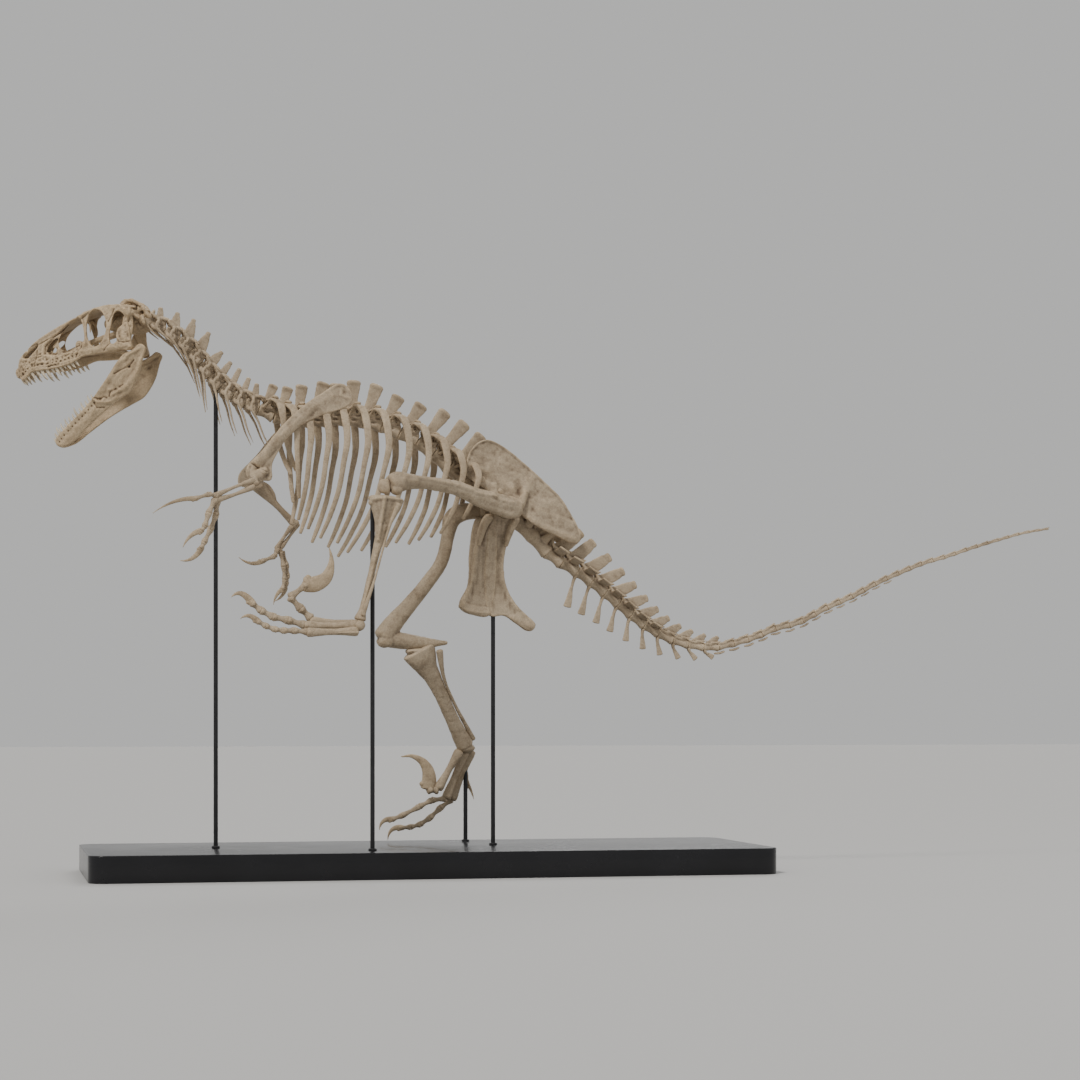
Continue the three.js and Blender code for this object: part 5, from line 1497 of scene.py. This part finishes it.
# Sections are x, y, z and two half sizes. Lines are ridges or grooves as (line, width, height)
LEGS = {
    "left": {
        "side": LEFT,
        "femur": [
            (334, -104, 1348, 28, 31), (306, -116, 1350, 30, 40), (236, -142, 1368, 26, 38),
            (170, -172, 1384, 22, 33), (80, -212, 1412, 21, 27), (-50, -272, 1424, 20, 24),
            (-112, -302, 1424, 28, 29), (-150, -316, 1420, 38, 38), (-172, -324, 1412, 36, 36),
        ],
        "head": [(316, -112, 1356), (318, -56, 1368), 26],
        "condyles": [((-204, -306, 1404), (20, 16, 27)), ((-202, -346, 1400), (22, 16, 28)),
                     ((-160, -338, 1392), (24, 18, 22))],
        "shelf": [],
        "femur_lines": [
            ([(-160, 1452), (-100, 1444), (-20, 1438), (80, 1424), (150, 1408)], 8, 5),
            ([(-128, 1432), (-104, 1424), (-84, 1428)], 12, 6),
            ([(-190, 1450), (-186, 1420), (-182, 1384)], 5, -9),
            ([(-110, 1404), (-20, 1404), (70, 1390), (130, 1372)], 12, -5),
            ([(160, 1400), (232, 1394), (262, 1378), (310, 1372)], 8, 5),
            ([(228, 1400), (238, 1392)], 8, 6),
            ([(180, 1364), (260, 1346), (320, 1336)], 14, -5),
        ],
        "tibia": [
            (-198, -336, 1356, 66, 42), (-201, -338, 1326, 55, 36), (-206, -339, 1290, 39, 28),
            (-215, -340, 1246, 23, 21), (-236, -340, 1156, 14, 17), (-258, -340, 1064, 11, 16),
            (-282, -340, 966, 12, 18), (-292, -340, 926, 21, 30),
        ],
        "tibia_knob": (-250, -346, 1342),
        "tibia_lines": [
            ([(-210, 1362), (-214, 1320), (-222, 1270), (-230, 1210)], 7, 9),
            ([(-236, 1340), (-234, 1300), (-232, 1270)], 10, -4),
            ([(-176, 1346), (-184, 1306), (-200, 1270)], 14, -6),
            ([(-262, 1352), (-200, 1358), (-140, 1352)], 6, 4),
            ([(-240, 1150), (-262, 1050), (-284, 970)], 5, 2.5),
        ],
        "fibula": [
            (-156, -366, 1336, 12, 8), (-186, -366, 1268, 6, 6), (-246, -366, 1060, 5, 5),
            (-286, -366, 940, 10, 7),
        ],
        "ankle": [(-298, -340, 904), 24, 30, 22],
        "metatarsals": [
            [(-306, -320, 908), (-462, -292, 920)], [(-306, -338, 902), (-488, -330, 902)],
            [(-306, -356, 882), (-484, -372, 876)],
        ],
        "foot_size": 17,
        "toes": {
            "toe_1": ([(-346, -296, 908), (-376, -278, 900)], (-404, -272, 904), (-424, -270, 886), 9),
            "toe_2": [(-462, -290, 930), (-498, -290, 964), (-536, -290, 1004), (-476, -290, 1050)],
            "toe_3": ([(-490, -330, 904), (-548, -330, 920), (-602, -330, 932), (-644, -330, 954),
                       (-676, -330, 980)],
                      (-716, -330, 1036), (-749, -330, 1000), 18),
            "toe_4": ([(-486, -372, 878), (-532, -372, 882), (-568, -372, 882), (-600, -372, 886),
                       (-632, -372, 898), (-660, -372, 914)], (-692, -372, 948), (-722, -372, 922), 15),
        },
        "sickle": [
            (-484, -290, 1050, 28, 12), (-446, -290, 1052, 29, 11), (-410, -290, 1072, 24, 9),
            (-392, -290, 1108, 16, 7), (-388, -290, 1146, 8, 4), (-396, -290, 1184, 2, 1.5),
        ],
    },
    "right": {
        "side": RIGHT,
        "femur": [
            (292, 98, 1352, 22, 26), (232, 108, 1352, 24, 26), (170, 112, 1352, 28, 34),
            (128, 114, 1326, 27, 34), (112, 116, 1262, 22, 25), (88, 118, 1166, 21, 25),
            (34, 120, 1084, 21, 26), (-34, 124, 1000, 23, 29), (-98, 126, 926, 34, 36),
            (-130, 126, 880, 42, 40),
        ],
        "head": [(292, 110, 1352), (316, 56, 1366), 26],
        "condyles": [((-126, 104, 862), (30, 20, 26)), ((-126, 148, 862), (30, 20, 26)),
                     ((-96, 122, 918), (26, 24, 26))],
        "shelf": [
            (-108, 126, 870, 34, 32), (-40, 128, 862, 32, 30), (28, 128, 856, 26, 22), (108, 128, 858, 14, 7),
        ],
        "femur_lines": [
            ([(104, 1270), (84, 1166), (30, 1078), (-30, 1006)], 7, 4),
            ([(-70, 930), (-20, 888), (40, 868)], 10, -6),
            ([(-60, 856), (20, 850), (96, 852)], 7, -5),
            ([(-134, 880), (-110, 900), (-70, 940)], 9, 4),
        ],
        "tibia": [
            (2, 128, 826, 66, 36), (16, 131, 800, 58, 32), (36, 142, 764, 42, 26), (58, 153, 730, 33, 22),
            (98, 178, 660, 27, 19), (140, 206, 580, 26, 19), (178, 232, 510, 30, 24), (202, 248, 470, 34, 32),
        ],
        "tibia_knob": (46, 132, 808),
        "tibia_lines": [
            ([(-30, 812), (10, 770), (44, 716), (90, 640)], 8, 5),
            ([(50, 790), (74, 720), (112, 650), (152, 580), (196, 500)], 6, 5),
            ([(24, 790), (54, 730), (100, 650)], 9, -4),
            ([(-60, 836), (0, 838), (60, 834)], 7, 3),
            ([(160, 540), (184, 494), (206, 462)], 8, 5),
        ],
        "fibula": [
            (78, 108, 826, 14, 10), (100, 142, 730, 7, 8), (144, 184, 640, 6, 7), (236, 250, 492, 10, 8),
        ],
        "ankle": [(206, 252, 458), 36, 34, 22],
        "metatarsals": [
            [(178, 236, 444), (96, 232, 304)], [(204, 256, 444), (134, 266, 268)],
            [(232, 276, 444), (162, 300, 262)],
        ],
        "foot_size": 19,
        "toes": {
            "toe_1": ([(214, 288, 380), (218, 302, 356), (228, 306, 312)],
                      (240, 308, 296), (250, 308, 258), 10),
            "toe_2": [(92, 230, 298), (56, 228, 298)],
            "toe_3": ([(130, 266, 264), (76, 264, 258), (28, 262, 234), (-40, 260, 200), (-78, 260, 186)],
                      (-122, 260, 192), (-127, 260, 146), 15),
            "toe_4": ([(160, 302, 258), (116, 304, 226), (76, 304, 188), (38, 304, 164), (0, 304, 154),
                       (-36, 304, 152)],
                      (-84, 304, 158), (-88, 304, 104), 15),
        },
        "sickle": [
            (54, 228, 304, 28, 12), (60, 228, 338, 28, 11), (54, 228, 376, 23, 9), (30, 228, 410, 15, 7),
            (-8, 228, 428, 8, 4), (-50, 228, 426, 2, 1.5),
        ],
    },
}
SICKLE_DIGIT_SIZE = 20


def fluted(rows, lines, side, axis):
    """Ridges and grooves on a bone's outer face; axis is 0 or 2, the way the bone runs."""
    run = sorted((row[axis], row[1]) for row in rows)

    def shape(points):
        outward = np.clip(side * (points[:, 1] - read_off(run, points[:, axis])) / 12, 0, 1)
        points[:, 1] += side * carved(points[:, [0, 2]], lines) * outward
        return points
    return shape


def femur_bone(leg, seed):
    root, centre, radius = leg["head"]
    level = leg["side"] == LEFT
    rows = leg["femur"] if level else [(x, y, z, h, w) for x, y, z, w, h in leg["femur"]]
    neck = [(*root, 18, 18), (*between(root, centre, 0.5), 17, 17), (*centre, radius * 0.9, radius * 0.9)]
    parts = [
        loft(rows, up=UP if level else ACROSS, step=6, sides=22, power=2.2, cap=0.5),
        loft(neck, up=ALONG, step=4, sides=18, cap=0.8),
    ]
    parts += [ball(at, *radii) for at, radii in leg["condyles"]]
    if leg["shelf"]:
        parts.append(loft(leg["shelf"], up=UP, step=5, sides=18, power=2.2))
    shape = fluted(rows, leg["femur_lines"], leg["side"], 0 if level else 2)
    return cast(parts, voxel=2.8, rounds=3, rough=1.2, shape=shape, seed=seed)


def tibia_bone(leg, seed):
    rows = leg["tibia"]
    x, y, z, w, h = rows[0]
    parts = [
        loft(rows, up=ACROSS, step=6, sides=22, power=2.3, cap=0.3),
        ball(leg["tibia_knob"], 14, 14, 13),
    ]
    for side in (LEFT, RIGHT):
        parts.append(loft([
            (x - w * 0.66, y + side * h * 0.35, z - 2, h * 0.42, 8),
            (x, y + side * h * 0.45, z + 2, h * 0.5, 8),
            (x + w * 0.62, y + side * h * 0.35, z - 2, h * 0.42, 8),
        ], up=UP, step=4, sides=14))
    shape = fluted(rows, leg["tibia_lines"], leg["side"], 2)
    return cast(parts, voxel=2.6, rounds=3, rough=1.1, shape=shape, seed=seed)


def ankle_bones(leg, seed):
    (x, y, z), rx, ry, rz = leg["ankle"]
    side = leg["side"]
    rising = [(x - 4, y, z, 14, 16), (x - 2, y, z + rz * 1.3, 7, 12), (x + 1, y, z + rz * 2.1, 3, 4)]
    parts = [
        ball((x, y - side * ry * 0.1, z), rx, ry * 0.8, rz),
        ball((x + 4, y + side * ry * 0.62, z), rx * 0.75, ry * 0.42, rz * 0.9),
        loft(rising, up=ACROSS, step=4, sides=14),
    ]
    bones = [cast(parts, voxel=2.2, rounds=2, rough=0.6, seed=seed)]
    size = leg["foot_size"]
    for k, (a, b) in enumerate(leg["metatarsals"]):
        bones.append(long_bone(a, b, size, size * 0.68, voxel=2.3, seed=seed + 1 + k))
    outside = (6, side * 14, -4 if side == LEFT else 0)
    splint = [(*shifted(between(a, b, t), outside, 1), w, w) for t, w in ((0.02, 6), (0.2, 5), (0.42, 2.5))]
    thin = loft(splint, up=ACROSS, step=4, sides=10)
    bones.append(cast([thin], voxel=1.8, rounds=2, rough=0.3, seed=seed + 6))
    return bones


def sickle_toe(leg, points, seed):
    bones = phalanges(points, SICKLE_DIGIT_SIZE, (0.86, 0.76), 0.6, 2.0, seed)
    rows = leg["sickle"]
    root, ahead, _, bend = (np.array(row[:3], float) for row in rows[:4])
    way = unit(ahead - root)
    hook = bend - root
    inner = unit(hook - way * (hook @ way))
    parts = [
        loft(rows, up=ACROSS, step=3, sides=20, power=1.8, cap=0.5),
        ball(root - inner * 6, 13, 12, 20),
        ball(root + way * 14 + inner * 24, 11, 8, 11),
    ]
    return bones, cast(parts, voxel=1.9, rounds=2, rough=0.35, seed=seed + 9)


def make_legs():
    for number, (word, leg) in enumerate(LEGS.items()):
        seed = 300 + 60 * number
        piece(f"femur_{word}_bone", [femur_bone(leg, seed)], [f"femur_{word}"])
        piece(f"tibia_{word}_bone", [tibia_bone(leg, seed + 2)], [f"tibia_{word}"])
        thin = loft(leg["fibula"], up=ACROSS, step=5, sides=14, cap=0.6)
        fibula = cast([thin], voxel=2.2, rounds=2, rough=0.5, seed=seed + 4)
        piece(f"fibula_{word}_bone", [fibula], [f"fibula_{word}"])
        piece(f"metatarsus_{word}_bones", ankle_bones(leg, seed + 5), [f"metatarsus_{word}"])
        for k, (name, toe) in enumerate(leg["toes"].items()):
            if name == "toe_2":
                bones, nail = sickle_toe(leg, toe, seed + 20)
            else:
                bones, nail = digit(*toe, seed=seed + 12 * k)
            piece(f"{name}_{word}_bones", bones, [f"{name}_{word}"], extra=[(claw, nail)])


make_hips()
make_shoulders()
make_arms()
make_legs()


# Slab and rods

BASE = {"length": 2500, "width": 860, "height": 97, "corner": 60, "bevel": 4}
ROD_RADIUS = 8
RODS = ["stand_rod_neck", "stand_rod_knee", "stand_rod_pelvis", "stand_rod_foot"]
COLLAR = [(14, 0), (15, 1), (15, 6), (13.5, 8), (ROD_RADIUS, 8.5)]
FOOT_GAP = 0.3
SHARP_ANGLE = math.radians(35)


def turned(rows, centre, sides=32):
    """A solid of revolution about an upright line, from rows of radius and height."""
    turn = np.linspace(0, 2 * math.pi, sides, endpoint=False)
    x, y = centre
    return capped([
        np.stack([x + r * np.cos(turn), y + r * np.sin(turn), np.full(sides, z)], axis=1) for r, z in rows
    ])


def plinth():
    """The slab, with rounded corners and a small rounded edge above and below."""
    corner = BASE["corner"]
    bevel = BASE["bevel"]
    height = BASE["height"]
    turn = np.linspace(0, math.pi / 2, 5)
    profile = [(bevel * (1 - math.cos(a)), height - bevel * (1 - math.sin(a))) for a in turn]
    profile = [(inset, height - z) for inset, z in reversed(profile)] + profile
    rings = []
    for inset, z in profile:
        ring = []
        for quarter, (sx, sy) in enumerate(((1, 1), (-1, 1), (-1, -1), (1, -1))):
            middle = np.array([sx * (BASE["length"] / 2 - corner), sy * (BASE["width"] / 2 - corner)])
            for angle in np.linspace(0, math.pi / 2, 13) + quarter * math.pi / 2:
                place = middle + (corner - inset) * np.array([math.cos(angle), math.sin(angle)])
                ring.append((*place, z))
        rings.append(np.array(ring))
    return capped(rings)


def make_stand():
    made = [piece("slab", [plinth()], ["stand_base"], base_black)]
    foot = BASE["height"] + FOOT_GAP
    for name in RODS:
        low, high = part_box(name)
        centre = ((low.x + high.x) / 2 / MM, (low.y + high.y) / 2 / MM)
        top = high.z / MM
        collar = turned([(radius, foot + rise) for radius, rise in COLLAR], centre)
        rod = turned([(ROD_RADIUS, foot), (ROD_RADIUS, top - 1), (ROD_RADIUS - 1, top)], centre)
        made.append(piece(f"{name}_steel", [rod, collar], [name], rod_black))
    for one in made:
        one.data.set_sharp_from_angle(angle=SHARP_ANGLE)


make_stand()


# A level camera that sees the mount as the photo does

CAMERA_AT = (-1.626, -9.178, 0.577)
CAMERA_AHEAD = (0.21985, 0.97553, 0)
SENSOR_WIDTH = 36
FOCAL_PIXELS = 2500
PICTURE_PIXELS = 1080
HORIZON_ROW = 717


def aimed(data, ahead, at=(0, 0, 0)):
    """A camera or a lamp that looks along ahead."""
    made = shown(bpy.data.objects.new(data.name, data))
    made.location = at
    made.rotation_euler = Vector(ahead).to_track_quat("-Z", "Y").to_euler()
    return made


lens = bpy.data.cameras.new("camera")
lens.sensor_width = SENSOR_WIDTH
lens.lens = SENSOR_WIDTH * FOCAL_PIXELS / PICTURE_PIXELS
lens.shift_y = (HORIZON_ROW - PICTURE_PIXELS / 2) / PICTURE_PIXELS
bpy.context.scene.camera = aimed(lens, CAMERA_AHEAD, CAMERA_AT)


# A plain floor that reaches past the view on every side

FLOOR_REACH = 40.0
floor_corners = [(x * FLOOR_REACH, y * FLOOR_REACH, 0) for x, y in ((-1, -1), (1, -1), (1, 1), (-1, 1))]
floor_mesh = bpy.data.meshes.new("floor")
floor_mesh.from_pydata(floor_corners, [], [(0, 1, 2, 3)])
floor = shown(bpy.data.objects.new("floor", floor_mesh))
pale, _, pale_shader = material("pale_floor")
pale_shader.inputs["Base Color"].default_value = (0.46, 0.457, 0.45, 1)
pale_shader.inputs["Roughness"].default_value = 1.0
pale_shader.inputs["Specular IOR Level"].default_value = 0.1
floor_mesh.materials.append(pale)


# Light: two far lamps that light the whole floor evenly, and a soft panel

def lamp(name, kind, power, colour):
    made = bpy.data.lights.new(name, kind)
    made.energy = power
    made.color = colour
    return made


def far_light(name, ahead, strength, softness, colour):
    made = lamp(name, "SUN", strength, colour)
    made.angle = math.radians(softness)
    aimed(made, ahead)


def panel_light(name, at, toward, size, power, colour):
    made = lamp(name, "AREA", power, colour)
    made.shape = "RECTANGLE"
    made.size, made.size_y = size
    aimed(made, Vector(toward) - Vector(at), at)


far_light("key", (3.0, 3.6, -5.2), 2.5, 12, (1.0, 0.97, 0.93))
far_light("rim", (-2.0, -5.5, -4.3), 0.9, 25, WHITE)
panel_light("fill", (5.5, -5.0, 3.2), (0.4, 0, 1.0), (3.5, 3.0), 60, (0.93, 0.96, 1.0))
sky = bpy.data.worlds.new("studio")
bpy.context.scene.world = sky
sky.use_nodes = True
sky_shader = sky.node_tree.nodes["Background"]
sky_shader.inputs["Color"].default_value = (0.90, 0.90, 0.89, 1)
sky_shader.inputs["Strength"].default_value = 0.6
